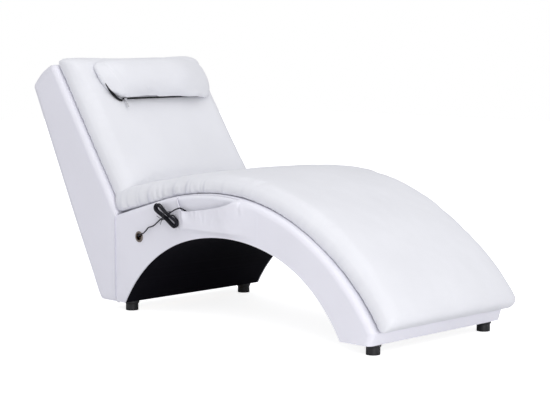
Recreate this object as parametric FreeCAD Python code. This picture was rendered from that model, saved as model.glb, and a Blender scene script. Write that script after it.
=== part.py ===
import FreeCAD, Part
import math
import os
from FreeCAD import Placement, Rotation, Vector

# A massage relaxation lounger: a wedge-shaped backrest box bolted to an arched seat box, two pads,
# a neck pillow, five vibration pods, and a corded handset in a side pocket. Millimetres.
# X runs towards the foot end, Y towards the far side, Z up from the floor.

# Overall stance and the two boxes
width = 550.0
floor_gap = 28.0
joint_x = -332.0
crest_x = 85.0
crest_z = 371.5
rear_bend_radius = 820.0
front_bend_radius = 690.0
rear_slope_deg = 16.1
toe_rise = 32.3
toe_lean_deg = 18.0
rear_leg_foot = 38.0
toe_flat = 99.0
deck_over_arch = 116.5
arch_haunch_share = 0.75
arch_crown_half_deg = 16.0
back_lean_deg = 34.4
back_rear_lean_deg = 26.3
back_corner_z = 295.0
back_top_z = 720.0
back_top_depth = 120.0
back_heel_round = 32.0

# Cover and frame stock
cover_wall = 4.0
cover_roll = 16.0
cover_seam_inset = 18.0
liner_wall = 1.6
fit_gap = 0.3
side_ply = 18.0
back_ply = 15.0
deck_board_wall = 3.0
panel_wall = 4.0
rail_width = 22.0
rail_depth = 42.0
foot_rail_height = 30.0
overrun = 40.0

# Pads
seat_pad_edge = 53.0
seat_pad_rise = 7.0
seat_pad_sink = 3.0
seat_pad_edge_shares = [0.9, 0.91, 0.94, 1.0, 1.05, 1.1, 1.15, 1.18, 1.21, 1.25]
seat_pad_rise_shares = [6.0, 4.4, 1.7, 1.0, 1.0, 1.0, 1.0, 1.0, 1.0, 1.0]
back_pad_edge = 54.0
back_pad_crown = 60.0
pad_inset = 11.0
pad_side_bulge = 4.0
pad_top_inset = 6.0
pad_end_step = 9.0
pad_end_drop = 4.0
pad_nose_step = 6.0
pad_nose_drop = 14.0
seat_pad_end_gap = 4.8
back_pad_top = 14.0

# Feet
foot_front_inset = 25.0
foot_rear_inset = 18.0
foot_side_inset = 45.0
foot_sole_radius = 18.5
foot_collar_radius = 21.5
foot_collar_height = 5.0
stud_radius = 4.0
stud_length = 18.0

# Bolts through the joint of the two boxes
bolt_radius = 4.0
bolt_head_radius = 8.0
bolt_head_height = 5.0
washer_radius = 12.0
washer_wall = 2.0
nut_height = 6.5
nut_flat_radius = 7.5
bolt_low_z = 90.0
bolt_high_z = 235.0
bolt_side = 150.0

# Massage pods
pod_radius = 36.0
pod_height = 29.0
pod_wall = 2.5
pod_room = 1.0
motor_radius = 11.0
motor_length = 26.0
saddle_share = 1.3
motor_saddle = 6.0
shaft_radius = 1.0
shaft_length = 11.0
shaft_play = 0.05
weight_radius = 10.0
weight_width = 6.0
weight_gap = 1.5
seat_pod_shares = [0.17, 0.434, 0.744]
back_pod_shares = [0.38, 0.81]
seat_pod_names = ["seat", "thigh", "calf"]
back_pod_names = ["shoulder", "lumbar"]

# Neck pillow, its tapes and its zip
pillow_y = 22.5
pillow_half = 214.5
pillow_top_drop = 42.0
pillow_height = 153.0
pillow_depth = 56.0
pillow_seam_rise = 20.0
tape_side = 42.0
tape_wall = 1.2
tape_spread = 110.0
zip_set_back = 13.0
zip_start_y = -133.0
zip_end_y = 170.0
zip_width = 7.0
zip_wall = 1.6
slider_length = 10.0
slider_wall = 1.2
tab_length = 24.0
tab_width = 7.0
tab_wall = 1.4

# Pocket in the near side
pocket_left_x = -80.0
pocket_right_x = 240.0
pocket_full_left_x = -36.0
pocket_full_right_x = 160.0
pocket_floor_z = 259.0
pocket_full_z = 267.0
pocket_bulge = 10.0
pocket_wall = 2.5
pocket_lining = 1.5
pocket_recess = 11.0
mouth_left_x = -62.0
mouth_left_z = 336.0
mouth_low_x = -36.0
mouth_low_z = 318.0
mouth_mid_x = 72.0
mouth_mid_z = 329.0
mouth_right_x = 182.0
mouth_right_z = 368.0

# Handset
handset_left_x = 2.0
handset_length = 140.0
handset_height = 42.0
handset_depth = 14.2
handset_wall = 1.6
handset_round = 9.0
handset_rest_gap = 1.2
button_radius = 5.0
button_proud = 1.0
button_flange = 1.2
button_flange_wall = 1.0
button_play = 0.25
button_pitch = 24.0
button_first = 26.0
guard_root_radius = 4.6
guard_tip_radius = 2.7
guard_reach = 31.6
guard_out = 6.7
guard_rise = 22.6

# Grommet, control box and cord
grommet_x = -227.0
grommet_z = 228.4
grommet_ring_radius = 16.0
grommet_bore_radius = 10.5
grommet_proud = 2.2
control_length = 92.0
control_height = 52.0
control_rise = 12.0
control_depth = 34.0
cord_radius = 1.9
gland_radius = 4.5
gland_length = 6.0

# Hank of the cord: layers of stadium loops drawn in at the waist
hank_x = -96.0
hank_z = 301.2
hank_tilt_deg = -28.7
hank_lobe = 38.0
hank_outer = 11.5
hank_inner = 7.1
hank_draw = 1.9
hank_pitch = 4.3
hank_stand = 4.2
hank_layers = 4
hank_exit = 6.0
hank_skew = 4.0
hank_leave = 2.0
hank_bend = 8.0
tie_width = 2.6
tie_wall = 0.9
tie_play = 0.45
tie_wire = 0.8

half = width / 2.0
parts = {}


def keep(name, shape):
    """File one sub-part under its node name."""
    parts[name] = shape


def prism(points_xz, y_low, y_high):
    """Extrude a polygon in the XZ plane from y_low to y_high."""
    corners = [Vector(x, y_low, z) for x, z in points_xz]
    face = Part.Face(Part.makePolygon(corners + corners[:1]))
    return face.extrude(Vector(0, y_high - y_low, 0))


def edge_prism(edges, y_low, y_high):
    """Extrude a closed outline of edges drawn at y = 0."""
    wire = Part.Wire(Part.__sortEdges__(edges))
    wire.translate(Vector(0, y_low, 0))
    return Part.Face(wire).extrude(Vector(0, y_high - y_low, 0))


def block(x_low, x_high, y_low, y_high, z_low, z_high):
    """A box between two corners."""
    return Part.makeBox(x_high - x_low, y_high - y_low, z_high - z_low, Vector(x_low, y_low, z_low))


def rod(radius, length, start, axis):
    """A cylinder from start along axis."""
    return Part.makeCylinder(radius, length, start, axis)


def group(shapes):
    """Several separate solids as one node."""
    return Part.makeCompound(shapes)


def one(shape):
    """The single solid of a result, or the result as it is."""
    return shape.Solids[0] if len(shape.Solids) == 1 else shape


# Outline of the seat box

rear_slope = math.radians(rear_slope_deg)
toe_lean = math.radians(toe_lean_deg)
arch_half = math.radians(arch_crown_half_deg)
deck_end = math.acos(1.0 - (crest_z - floor_gap - toe_rise) / front_bend_radius)
rear_centre = Vector(crest_x, 0, crest_z - rear_bend_radius)
front_centre = Vector(crest_x, 0, crest_z - front_bend_radius)
deck_end_x = crest_x + front_bend_radius * math.sin(deck_end)
deck_end_z = front_centre.z + front_bend_radius * math.cos(deck_end)
toe_foot_x = deck_end_x - (deck_end_z - floor_gap) * math.tan(toe_lean)
foot_front_x = toe_foot_x - foot_front_inset
foot_rear_x = joint_x + foot_rear_inset

# The arch: one crown arc and two haunch arcs, from the rear leg's foot to the toe's flat
arch_start_x = joint_x + rear_leg_foot
arch_end_x = toe_foot_x - toe_flat
arch_centre_x = (arch_start_x + arch_end_x) / 2.0
arch_half_span = (arch_end_x - arch_start_x) / 2.0
arch_crown_z = crest_z - deck_over_arch
arch_rise = arch_crown_z - floor_gap
lesser_share = 1.0 - arch_haunch_share
side_share = lesser_share * math.sin(arch_half)
drop_share = 1.0 - lesser_share * math.cos(arch_half)
bend_share = 2.0 * lesser_share * (1.0 - math.cos(arch_half))
both = 2.0 * (arch_half_span * side_share + arch_rise * drop_share)
square = arch_half_span ** 2 + arch_rise ** 2
arch_crown_radius = 2.0 * square / (both + math.sqrt(both ** 2 - 4.0 * bend_share * square))
arch_haunch_radius = arch_crown_radius * arch_haunch_share
crown_centre = Vector(arch_centre_x, 0, arch_crown_z - arch_crown_radius)
haunch_reach = (arch_crown_radius - arch_haunch_radius) * math.sin(arch_half)
haunch_z = crown_centre.z + (arch_crown_radius - arch_haunch_radius) * math.cos(arch_half)


def on_circle(centre, radius, angle):
    """Point of a circle in XZ, with the angle counted from the top towards +X."""
    return centre + Vector(radius * math.sin(angle), 0, radius * math.cos(angle))


def arc(centre, radius, start, end):
    """Arc in XZ between two angles counted from the top."""
    mid = (start + end) / 2.0
    spots = [on_circle(centre, radius, a) for a in (start, mid, end)]
    return Part.Arc(spots[0], spots[1], spots[2]).toShape()


def line(start, end):
    """Straight edge."""
    return Part.LineSegment(start, end).toShape()


def deck_tangent(depth):
    """Where the straight rear run of the deck meets its rear bend, at a depth under the cover."""
    return on_circle(rear_centre, rear_bend_radius - depth, -rear_slope)


def deck_rear(depth, x):
    """Point of the straight rear run at x."""
    knee = deck_tangent(depth)
    return Vector(x, 0, knee.z - (knee.x - x) * math.tan(rear_slope))


def toe_corner(depth, inset):
    """Where the toe face meets the deck bend: a line against a circle."""
    run = Vector(math.sin(toe_lean), 0, math.cos(toe_lean))
    start = Vector(toe_foot_x - inset / math.cos(toe_lean), 0, floor_gap)
    radius = front_bend_radius - depth
    offset = start - front_centre
    along = offset.dot(run)
    reach = math.sqrt(along ** 2 - offset.dot(offset) + radius ** 2)
    return start + run * (reach - along)


def toe_angle(point):
    """Angle of a point on the front bend, from the crest."""
    return math.atan2(point.x - front_centre.x, point.z - front_centre.z)


def haunch_end(side, inset, z):
    """Where a haunch of the arch reaches height z."""
    radius = arch_haunch_radius + inset
    reach = math.sqrt(radius ** 2 - (z - haunch_z) ** 2)
    return Vector(arch_centre_x + side * (haunch_reach + reach), 0, z)


def arch_edges(inset, z_low):
    """The three arcs over the open space, from the rear leg to the toe."""
    edges = []
    rear_haunch = Vector(arch_centre_x - haunch_reach, 0, haunch_z)
    front_haunch = Vector(arch_centre_x + haunch_reach, 0, haunch_z)
    radius = arch_haunch_radius + inset
    rear_end = haunch_end(-1, inset, z_low)
    front_end = haunch_end(1, inset, z_low)
    rear_angle = math.atan2(rear_end.x - rear_haunch.x, rear_end.z - haunch_z)
    front_angle = math.atan2(front_end.x - front_haunch.x, front_end.z - haunch_z)
    edges.append(arc(rear_haunch, radius, rear_angle, -arch_half))
    edges.append(arc(crown_centre, arch_crown_radius + inset, -arch_half, arch_half))
    edges.append(arc(front_haunch, radius, arch_half, front_angle))
    return edges


def seat_edges(depth, inset, toe_inset, arch_inset, lift):
    """Closed outline of the seat box, set in from its deck, rear, toe, arch and underside."""
    z_low = floor_gap + lift
    rear_x = joint_x + inset
    toe_low = Vector(toe_foot_x - toe_inset / math.cos(toe_lean) + lift * math.tan(toe_lean), 0, z_low)
    toe_high = toe_corner(depth, toe_inset)
    rear_high = deck_rear(depth, rear_x)
    knee = deck_tangent(depth)
    rear_low = Vector(rear_x, 0, z_low)
    edges = [line(rear_low, haunch_end(-1, arch_inset, z_low))]
    edges += arch_edges(arch_inset, z_low)
    edges.append(line(haunch_end(1, arch_inset, z_low), toe_low))
    edges.append(line(toe_low, toe_high))
    edges.append(arc(front_centre, front_bend_radius - depth, toe_angle(toe_high), 0.0))
    edges.append(arc(rear_centre, rear_bend_radius - depth, 0.0, -rear_slope))
    edges.append(line(knee, rear_high))
    edges.append(line(rear_high, rear_low))
    return edges


def deck_place(x):
    """Frame on the deck at x: X along the deck towards the toe, Z out of it."""
    if x >= crest_x:
        angle = math.asin((x - crest_x) / front_bend_radius)
        spot = on_circle(front_centre, front_bend_radius, angle)
    else:
        angle = -math.asin(min((crest_x - x) / rear_bend_radius, math.sin(rear_slope)))
        spot = on_circle(rear_centre, rear_bend_radius, angle)
        if x < spot.x:
            spot = deck_rear(0.0, x)
    return Placement(spot, Rotation(Vector(0, 1, 0), math.degrees(angle)))


# Outline of the backrest box

back_lean = math.radians(back_lean_deg)
back_top_x = joint_x - (back_top_z - back_corner_z) * math.tan(back_lean)
back_out = Vector(math.cos(back_lean), 0, math.sin(back_lean))
back_down = Vector(math.sin(back_lean), 0, -math.cos(back_lean))
back_corner = Vector(back_top_x, 0, back_top_z)
back_place = Placement(back_corner, Rotation(Vector(0, 1, 0), 90.0 - back_lean_deg))
back_rear_top = back_corner - back_out * back_top_depth
back_rear_run = math.tan(math.radians(back_rear_lean_deg))


def back_points(front, top, rear, joint, lift):
    """Corners of the backrest box, set in from each of its faces."""
    z_low = floor_gap + lift
    joint_edge = joint_x - joint
    inner_corner = back_corner - back_out * front + back_down * top
    front_drop = (joint_edge - inner_corner.x) / math.tan(back_lean)
    rear_step = rear / math.cos(math.radians(back_rear_lean_deg))
    rear_foot_x = back_rear_top.x + (back_rear_top.z - z_low) * back_rear_run + rear_step
    top_run = (inner_corner.x - back_rear_top.x - rear_step)
    rise = back_rear_top.z - inner_corner.z
    slope = math.tan(back_lean)
    reach = (top_run - rise * back_rear_run) / (1.0 + slope * back_rear_run)
    inner_rear = Vector(inner_corner.x - reach, 0, inner_corner.z - reach * slope)
    corners = [inner_rear, inner_corner, Vector(joint_edge, 0, inner_corner.z - front_drop)]
    corners += [Vector(joint_edge, 0, z_low), Vector(rear_foot_x, 0, z_low)]
    return [(p.x, p.z) for p in corners]


def rounded(shape, radius, chosen):
    """Fillet the edges that a test picks."""
    return shape.makeFillet(radius, [e for e in shape.Edges if chosen(e)])


def on_side(edge, y):
    """True for an edge that lies in the plane y."""
    return all(abs(v.Point.y - y) < fit_gap / 10.0 for v in edge.Vertexes)


def side_edge(edge, reach):
    """True for an edge on either side face."""
    return on_side(edge, reach) or on_side(edge, -reach)


# Backrest box

def backrest_shell():
    """Rolled box solid of the backrest, and the room inside its cover."""
    def heel(edge):
        return abs(edge.CenterOfMass.y) < fit_gap and lowest_rear(edge)

    def lowest_rear(edge):
        return edge.CenterOfMass.z < floor_gap + fit_gap and edge.CenterOfMass.x < joint_x - cover_roll

    def open_roll(edge):
        heights = [v.Point.z for v in edge.Vertexes]
        ends = [v.Point.x for v in edge.Vertexes]
        if side_edge(edge, half):
            return min(ends) < joint_x - fit_gap and min(heights) > floor_gap + fit_gap
        return min(heights) > back_corner_z + fit_gap

    outer = prism(back_points(0.0, 0.0, 0.0, 0.0, 0.0), -half, half)
    outer = rounded(outer, back_heel_round, heel)
    outer = rounded(outer, cover_roll, open_roll)
    room = back_points(cover_wall, cover_wall, cover_wall, cover_wall, -overrun)
    inner = prism(room, -half + cover_wall, half - cover_wall)

    def inner_roll(edge):
        heights = [v.Point.z for v in edge.Vertexes]
        ends = [v.Point.x for v in edge.Vertexes]
        if side_edge(edge, half - cover_wall):
            return min(ends) < joint_x - cover_wall - fit_gap and max(heights) > back_corner_z - cover_roll
        return min(heights) > back_corner_z - cover_roll

    inner = rounded(inner, cover_roll - cover_wall, inner_roll)
    return outer, inner


def backrest():
    """Cover, side panels, rails, boards and bottom liner of the backrest box."""
    outer, inner = backrest_shell()
    cover = outer.cut(inner)
    for side in (-1, 1):
        for z in (bolt_low_z, bolt_high_z):
            start = Vector(joint_x - cover_wall - overrun, side * bolt_side, z)
            cover = cover.cut(rod(bolt_radius + fit_gap, overrun * 2, start, Vector(1, 0, 0)))
    keep("back_cover", one(cover))
    clear = cover_wall + fit_gap
    lift = liner_wall + fit_gap
    side_points = back_points(cover_roll, cover_roll, cover_roll, clear, lift)
    reach = half - clear
    x_heel = side_points[4][0]
    heel_trim = block(x_heel - overrun, x_heel + back_heel_round, -half, half,
                      0.0, floor_gap + back_heel_round)
    for name, low in (("near", -reach), ("far", reach - back_ply)):
        panel = prism(side_points, low, low + back_ply).cut(heel_trim)
        keep("back_side_panel_" + name, one(panel))
    inner_reach = reach - back_ply - fit_gap
    rails = []
    rail_face = cover_roll + fit_gap
    top_place = back_place
    top_rail = block(rail_face, rail_face + rail_width, -inner_reach, inner_reach,
                     -cover_roll - rail_depth, -cover_roll)
    top_rail.Placement = top_place
    rails.append(top_rail)
    mid_drop = (back_top_z - back_corner_z) / math.cos(back_lean) / 2.0
    mid_rail = block(mid_drop, mid_drop + rail_width, -inner_reach, inner_reach,
                     -cover_roll - rail_depth, -cover_roll)
    mid_rail.Placement = top_place
    rails.append(mid_rail)
    joint_rail_x = joint_x - clear
    for z in (bolt_low_z, bolt_high_z):
        low = z - rail_depth / 2.0
        rail = block(joint_rail_x - rail_width, joint_rail_x, -inner_reach, inner_reach,
                     low, low + rail_depth)
        for side in (-1, 1):
            start = Vector(joint_x - overrun, side * bolt_side, z)
            rail = rail.cut(rod(bolt_radius + fit_gap, overrun * 2, start, Vector(1, 0, 0)))
        rails.append(rail)
    keep("back_cross_rails", group(rails))
    front = back_points(clear, cover_roll, cover_roll, cover_roll, lift + overrun)
    board = prism([front[1], front[2]] + shifted(front[2], front[1], panel_wall),
                  -board_reach(), board_reach())
    keep("back_front_board", board)
    rear = back_points(clear, cover_roll, clear, cover_roll, lift + back_heel_round)
    rear_board = prism([rear[4], rear[0]] + shifted(rear[0], rear[4], deck_board_wall),
                       -board_reach(), board_reach())
    keep("back_rear_board", rear_board)
    liner = prism(back_points(clear, clear, clear, clear, 0.0), -reach, reach)
    liner = liner.common(block(joint_x - width, joint_x, -half, half, floor_gap, floor_gap + liner_wall))
    liner = liner.cut(block(x_heel - overrun, x_heel + back_heel_round / 2.0, -half, half, 0.0, crest_z))
    keep("back_bottom_liner", one(liner))


def board_reach():
    """Half width of a board that lies inside the rolled corners of the cover."""
    return half - cover_roll


def shifted(start, end, wall):
    """The two corners that give an edge of the backrest outline a wall, on its inner side."""
    run = Vector(end[0] - start[0], 0, end[1] - start[1])
    run.normalize()
    side = Vector(-run.z, 0, run.x) * wall
    return [(start[0] + side.x, start[1] + side.z), (end[0] + side.x, end[1] + side.z)]


# Seat box

def seat_box():
    """Rolled cover of the seat box in three panels, its frames, deck board, rails and liners."""
    def deck_roll(edge):
        mid = edge.CenterOfMass
        return side_edge(edge, half) and above_arch(mid)

    def above_arch(mid):
        flat = Vector(mid.x, 0, mid.z)
        bend = front_centre if mid.x > crest_x else rear_centre
        radius = front_bend_radius if mid.x > crest_x else rear_bend_radius
        near_deck = abs(flat.distanceToPoint(bend) - radius) < cover_roll * 2 and mid.z > floor_gap + fit_gap
        straight = mid.x < deck_tangent(0.0).x and mid.z > deck_rear(0.0, joint_x).z - fit_gap
        toe = mid.x > toe_foot_x - fit_gap and mid.z > floor_gap + fit_gap
        return near_deck or straight or toe

    outer = edge_prism(seat_edges(0.0, 0.0, 0.0, 0.0, 0.0), -half, half)
    outer = rounded(outer, cover_roll, deck_roll)
    inner = edge_prism(seat_edges(cover_wall, cover_wall, cover_wall, 0.0, 0.0), -half + cover_wall,
                       half - cover_wall)
    inner = rounded(inner, cover_roll - cover_wall, lambda e: inner_deck(e, above_arch))
    cover = outer.cut(inner)
    seam = half - cover_seam_inset
    top = cover.common(block(joint_x - width, width * 2, -seam, seam, -overrun, crest_z * 2))
    for side in (-1, 1):
        for z in (bolt_low_z, bolt_high_z):
            start = Vector(joint_x - overrun, side * bolt_side, z)
            top = top.cut(rod(bolt_radius + fit_gap, overrun * 2, start, Vector(1, 0, 0)))
    keep("seat_cover_top", one(top))
    near = cover.common(block(joint_x - width, width * 2, -half - overrun, -seam, -overrun, crest_z * 2))
    keep("seat_cover_far", one(near).mirror(Vector(0, 0, 0), Vector(0, 1, 0)))
    grommet_axis = Vector(0, 1, 0)
    hole = rod(grommet_bore_radius + pocket_wall, overrun * 2,
               Vector(grommet_x, -half - overrun, grommet_z), grommet_axis)
    near = near.cut(hole).cut(pocket_window()).cut(mouth_cutter())
    keep("seat_cover_near", one(near))
    clear = cover_wall + fit_gap
    frame_arch = liner_wall + fit_gap
    frame = edge_prism(seat_edges(cover_roll, clear, cover_roll, frame_arch, frame_arch), 0.0, side_ply)
    near_frame = frame.translated(Vector(0, -half + clear, 0))
    wide_hole = rod(grommet_bore_radius + pocket_wall + fit_gap, overrun * 2,
                    Vector(grommet_x, -half - overrun, grommet_z), grommet_axis)
    recess = block(pocket_left_x - fit_gap, pocket_right_x + fit_gap, -half - overrun,
                   -half + pocket_recess + pocket_lining + fit_gap,
                   pocket_floor_z - fit_gap, crest_z + overrun)
    keep("seat_side_frame_near", one(near_frame.cut(wide_hole).cut(recess)))
    keep("seat_side_frame_far", frame.translated(Vector(0, half - clear - side_ply, 0)))
    deck_board(clear)
    seat_rails(clear)
    liners(clear)


def inner_deck(edge, above_arch):
    """True for a deck or toe edge of the room inside the seat cover."""
    return side_edge(edge, half - cover_wall) and above_arch(edge.CenterOfMass)


def deck_board(clear):
    """Thin board bent over the deck, under the cover."""
    ring = edge_prism(seat_edges(clear, cover_roll, cover_roll, 0.0, 0.0), -board_reach(), board_reach())
    low = edge_prism(seat_edges(clear + deck_board_wall, -overrun, -overrun, 0.0, 0.0), -half, half)
    board = ring.cut(low)
    pieces = sorted(board.Solids, key=lambda s: s.Volume)
    keep("seat_deck_board", pieces[-1])


def seat_rails(clear):
    """Cross rails between the side frames, and the end board at the backrest."""
    reach = half - clear - side_ply - fit_gap
    depth = clear + deck_board_wall + fit_gap * 2
    rails = []
    rail_shares = [0.03, 0.2, 0.53, 0.76]
    span = toe_foot_x - joint_x
    for share in rail_shares:
        x = joint_x + clear + rail_width + share * span
        rail = block(-rail_width / 2.0, rail_width / 2.0, -reach, reach, -depth - rail_depth, -depth)
        rail.Placement = deck_place(x)
        rails.append(rail)
    lift = liner_wall + fit_gap
    low = floor_gap + lift
    rear_x = joint_x + clear + deck_board_wall * 2 + fit_gap
    rear_edge = haunch_end(-1, lift, low + foot_rail_height).x
    rear_high = haunch_end(-1, lift, low).x - fit_gap
    rails.append(block(rear_x, rear_high, -reach, reach, low, low + foot_rail_height))
    front_low = foot_front_x - rail_depth / 2.0
    front_high = toe_foot_x - clear * 2
    rails.append(block(front_low, front_high, -reach, reach, low, low + foot_rail_height))
    studs = []
    for x in (foot_rear_x, foot_front_x):
        for side in (-1, 1):
            y = side * (half - foot_side_inset)
            studs.append(rod(stud_radius + fit_gap, floor_gap * 2, Vector(x, y, 0), Vector(0, 0, 1)))
    cut_rails = []
    for rail in rails:
        for stud in studs:
            if rail.common(stud).Volume > 0:
                rail = rail.cut(stud)
        cut_rails.append(rail)
    keep("seat_cross_rails", group(cut_rails))
    end_high = deck_rear(cover_roll, joint_x + clear).z - rail_depth / 4.0
    end_board = block(joint_x + clear, joint_x + clear + deck_board_wall * 2, -reach, reach, low, end_high)
    for side in (-1, 1):
        for z in (bolt_low_z, bolt_high_z):
            start = Vector(joint_x - overrun, side * bolt_side, z)
            end_board = end_board.cut(rod(bolt_radius + fit_gap, overrun * 2, start, Vector(1, 0, 0)))
    keep("seat_end_board", end_board)


def liners(clear):
    """Black fabric under the arch and under the toe."""
    reach = half - clear
    outer = edge_prism(arch_band(liner_wall), -reach, reach)
    keep("arch_liner", outer)
    low_x = haunch_end(1, liner_wall, floor_gap).x + fit_gap
    toe = block(low_x, toe_foot_x - clear * 2, -reach, reach, floor_gap, floor_gap + liner_wall)
    for side in (-1, 1):
        start = Vector(foot_front_x, side * (half - foot_side_inset), 0)
        toe = toe.cut(rod(stud_radius + fit_gap, overrun, start, Vector(0, 0, 1)))
        corner = Vector(toe_foot_x - cover_roll, side * (half - cover_roll), 0)
        square = block(corner.x, toe_foot_x, min(corner.y, side * half), max(corner.y, side * half),
                       0.0, floor_gap * 2)
        toe = toe.cut(square.cut(rod(cover_roll - clear, floor_gap * 2, corner, Vector(0, 0, 1))))
    keep("toe_liner", one(toe))


def arch_band(wall):
    """Closed outline of a band that follows the arch."""
    inner = arch_edges(0.0, floor_gap)
    outer = arch_edges(wall, floor_gap)
    rear = line(haunch_end(-1, 0.0, floor_gap), haunch_end(-1, wall, floor_gap))
    front = line(haunch_end(1, 0.0, floor_gap), haunch_end(1, wall, floor_gap))
    return inner + outer + [rear, front]


# Side pocket

def mouth_edges(y):
    """Outline of the mouth: a sagging lip under the deck edge."""
    high = crest_z + overrun
    top_left = Vector(mouth_left_x, y, high)
    left = Vector(mouth_left_x, y, mouth_left_z)
    low = Vector(mouth_low_x, y, mouth_low_z)
    middle = Vector(mouth_mid_x, y, mouth_mid_z)
    right = Vector(mouth_right_x, y, mouth_right_z)
    top_right = Vector(mouth_right_x, y, high)
    bend = left * 0.5 + low * 0.5
    share_of_sag = (left - low).Length / 6.0
    bend = bend + Vector(-share_of_sag, 0, -share_of_sag) * 0.6
    edges = [line(top_left, left), Part.Arc(left, bend, low).toShape()]
    edges.append(Part.Arc(low, middle, right).toShape())
    edges += [line(right, top_right), line(top_right, top_left)]
    return edges


def mouth_cutter():
    """Everything above the lip, out from the pocket's back."""
    wire = Part.Wire(Part.__sortEdges__(mouth_edges(-half - overrun)))
    return Part.Face(wire).extrude(Vector(0, overrun + pocket_recess, 0))


def pocket_window():
    """Opening in the near cover that the pocket's front panel fills."""
    return block(pocket_left_x, pocket_right_x, -half - overrun, -half + cover_wall + fit_gap,
                 pocket_floor_z, pocket_top_z())


def pocket_top_z():
    """Height of the front panel's top edge, at the right corner of the mouth."""
    return mouth_right_z - cover_roll - fit_gap


def frustum(y_base, y_face, inset):
    """Block that narrows from the side face to the bulge."""
    top = pocket_top_z()
    left = pocket_left_x + inset
    right = pocket_right_x - inset
    low = pocket_floor_z + inset
    base = [(left, low), (right, low), (right, top), (left, top)]
    face = [(pocket_full_left_x + inset, pocket_full_z + inset / 2.0),
            (pocket_full_right_x - inset, pocket_full_z + inset / 2.0),
            (pocket_full_right_x - inset, top), (pocket_full_left_x + inset, top)]
    wires = []
    for y, corners in ((y_base, base), (y_face, face)):
        spots = [Vector(x, y, z) for x, z in corners]
        wires.append(Part.makePolygon(spots + spots[:1]))
    return Part.makeLoft(wires, True, True)


def pocket():
    """Front panel that bulges over the handset, and the lining behind it."""
    outer = frustum(-half, -half - pocket_bulge, 0.0)
    outer = outer.fuse(block(pocket_left_x, pocket_right_x, -half, -half + pocket_wall,
                             pocket_floor_z, pocket_top_z()))
    inner = frustum(-half + pocket_wall, -half - pocket_bulge + pocket_wall, pocket_wall / 2.0)
    inner = inner.fuse(block(pocket_left_x + pocket_wall, pocket_right_x - pocket_wall,
                             -half + pocket_wall / 2.0,
                             half, pocket_floor_z + pocket_wall, pocket_top_z()))
    inner = inner.fuse(block(pocket_full_left_x, pocket_full_right_x, -half - pocket_bulge + pocket_wall,
                             -half + pocket_wall, pocket_full_z + fit_gap, crest_z * 2))
    panel = outer.cut(inner).cut(mouth_cutter())
    keep("pocket_front_panel", one(panel))
    back_y = -half + pocket_recess
    tray = block(pocket_left_x, pocket_right_x, -half + cover_wall + fit_gap, back_y + pocket_lining,
                 pocket_floor_z, crest_z)
    hollow = block(pocket_left_x + pocket_lining, pocket_right_x - pocket_lining, -half - overrun, back_y,
                   pocket_floor_z + pocket_lining, crest_z + overrun)
    under_deck = edge_prism(seat_edges(cover_roll, cover_wall, cover_wall, 0.0, 0.0), -half, half)
    lining = tray.cut(hollow).common(under_deck)
    plate = block(mouth_left_x + fit_gap, mouth_right_x - fit_gap, back_y, back_y + pocket_lining,
                  pocket_floor_z, crest_z)
    high = edge_prism(seat_edges(cover_wall * 1.5, cover_wall, cover_wall, 0.0, 0.0), -half, half)
    lining = lining.fuse(plate.common(high)).removeSplitter()
    keep("pocket_lining", one(lining))


# Feet and joint bolts

def feet():
    """Four turned feet with a collar, each on a threaded stud."""
    studs = []
    for end, x in (("rear", foot_rear_x), ("front", foot_front_x)):
        for name, side in (("near", -1), ("far", 1)):
            spot = Vector(x, side * (half - foot_side_inset), 0)
            collar_z = floor_gap - foot_collar_height
            outline = [Vector(0, 0, 0), Vector(foot_sole_radius, 0, 0),
                       Vector(foot_sole_radius, 0, collar_z * 0.8),
                       Vector(foot_collar_radius, 0, collar_z), Vector(foot_collar_radius, 0, floor_gap),
                       Vector(0, 0, floor_gap)]
            face = Part.Face(Part.makePolygon(outline + outline[:1]))
            foot = face.revolve(Vector(0, 0, 0), Vector(0, 0, 1), 360)
            foot = foot.cut(rod(stud_radius, floor_gap, Vector(0, 0, floor_gap / 2.0), Vector(0, 0, 1)))
            foot.translate(spot)
            keep("foot_" + end + "_" + name, one(foot))
            start = spot + Vector(0, 0, floor_gap / 2.0)
            studs.append(rod(stud_radius, floor_gap / 2.0 + stud_length, start, Vector(0, 0, 1)))
    keep("foot_studs", group(studs))


def joint_bolts():
    """Bolts with washers through both boxes, and their nuts inside the seat box."""
    bolts = []
    nuts = []
    clear = cover_wall + fit_gap
    head_x = joint_x - clear - rail_width
    nut_x = joint_x + clear + deck_board_wall * 2
    for side in (-1, 1):
        for z in (bolt_low_z, bolt_high_z):
            y = side * bolt_side
            axis = Vector(1, 0, 0)
            start = Vector(head_x - washer_wall - bolt_head_height, y, z)
            head = rod(bolt_head_radius, bolt_head_height, start, axis)
            washer = rod(washer_radius, washer_wall, Vector(head_x - washer_wall, y, z), axis)
            length = nut_x + nut_height + washer_wall - start.x
            bolts.append(head.fuse(washer).fuse(rod(bolt_radius, length, start, axis)).removeSplitter())
            corners = []
            for step in range(6):
                turn = math.radians(60.0 * step)
                offset = Vector(0, nut_flat_radius * math.cos(turn), nut_flat_radius * math.sin(turn))
                corners.append(Vector(nut_x, y, z) + offset)
            nut = Part.Face(Part.makePolygon(corners + corners[:1])).extrude(Vector(nut_height, 0, 0))
            nuts.append(nut.cut(rod(bolt_radius, overrun, Vector(nut_x - bolt_radius, y, z), axis)))
    keep("joining_bolts", group(bolts))
    keep("joining_nuts", group(nuts))


# Pads

def pad_section(reach, edge, crown, foot):
    """Cross-section of a pad: flat foot, bulging sides drawn in at the seams, crowned top."""
    low = [Vector(0, -reach + pad_side_bulge, foot), Vector(0, reach - pad_side_bulge, foot)]
    high = [Vector(0, reach - pad_top_inset, edge), Vector(0, -reach + pad_top_inset, edge)]
    middle = edge / 2.0
    right = Part.Arc(low[1], Vector(0, reach, middle), high[0]).toShape()
    top = Part.Arc(high[0], Vector(0, 0, crown), high[1]).toShape()
    left = Part.Arc(high[1], Vector(0, -reach, middle), low[0]).toShape()
    return Part.Wire([line(low[0], low[1]), right, top, left])


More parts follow.
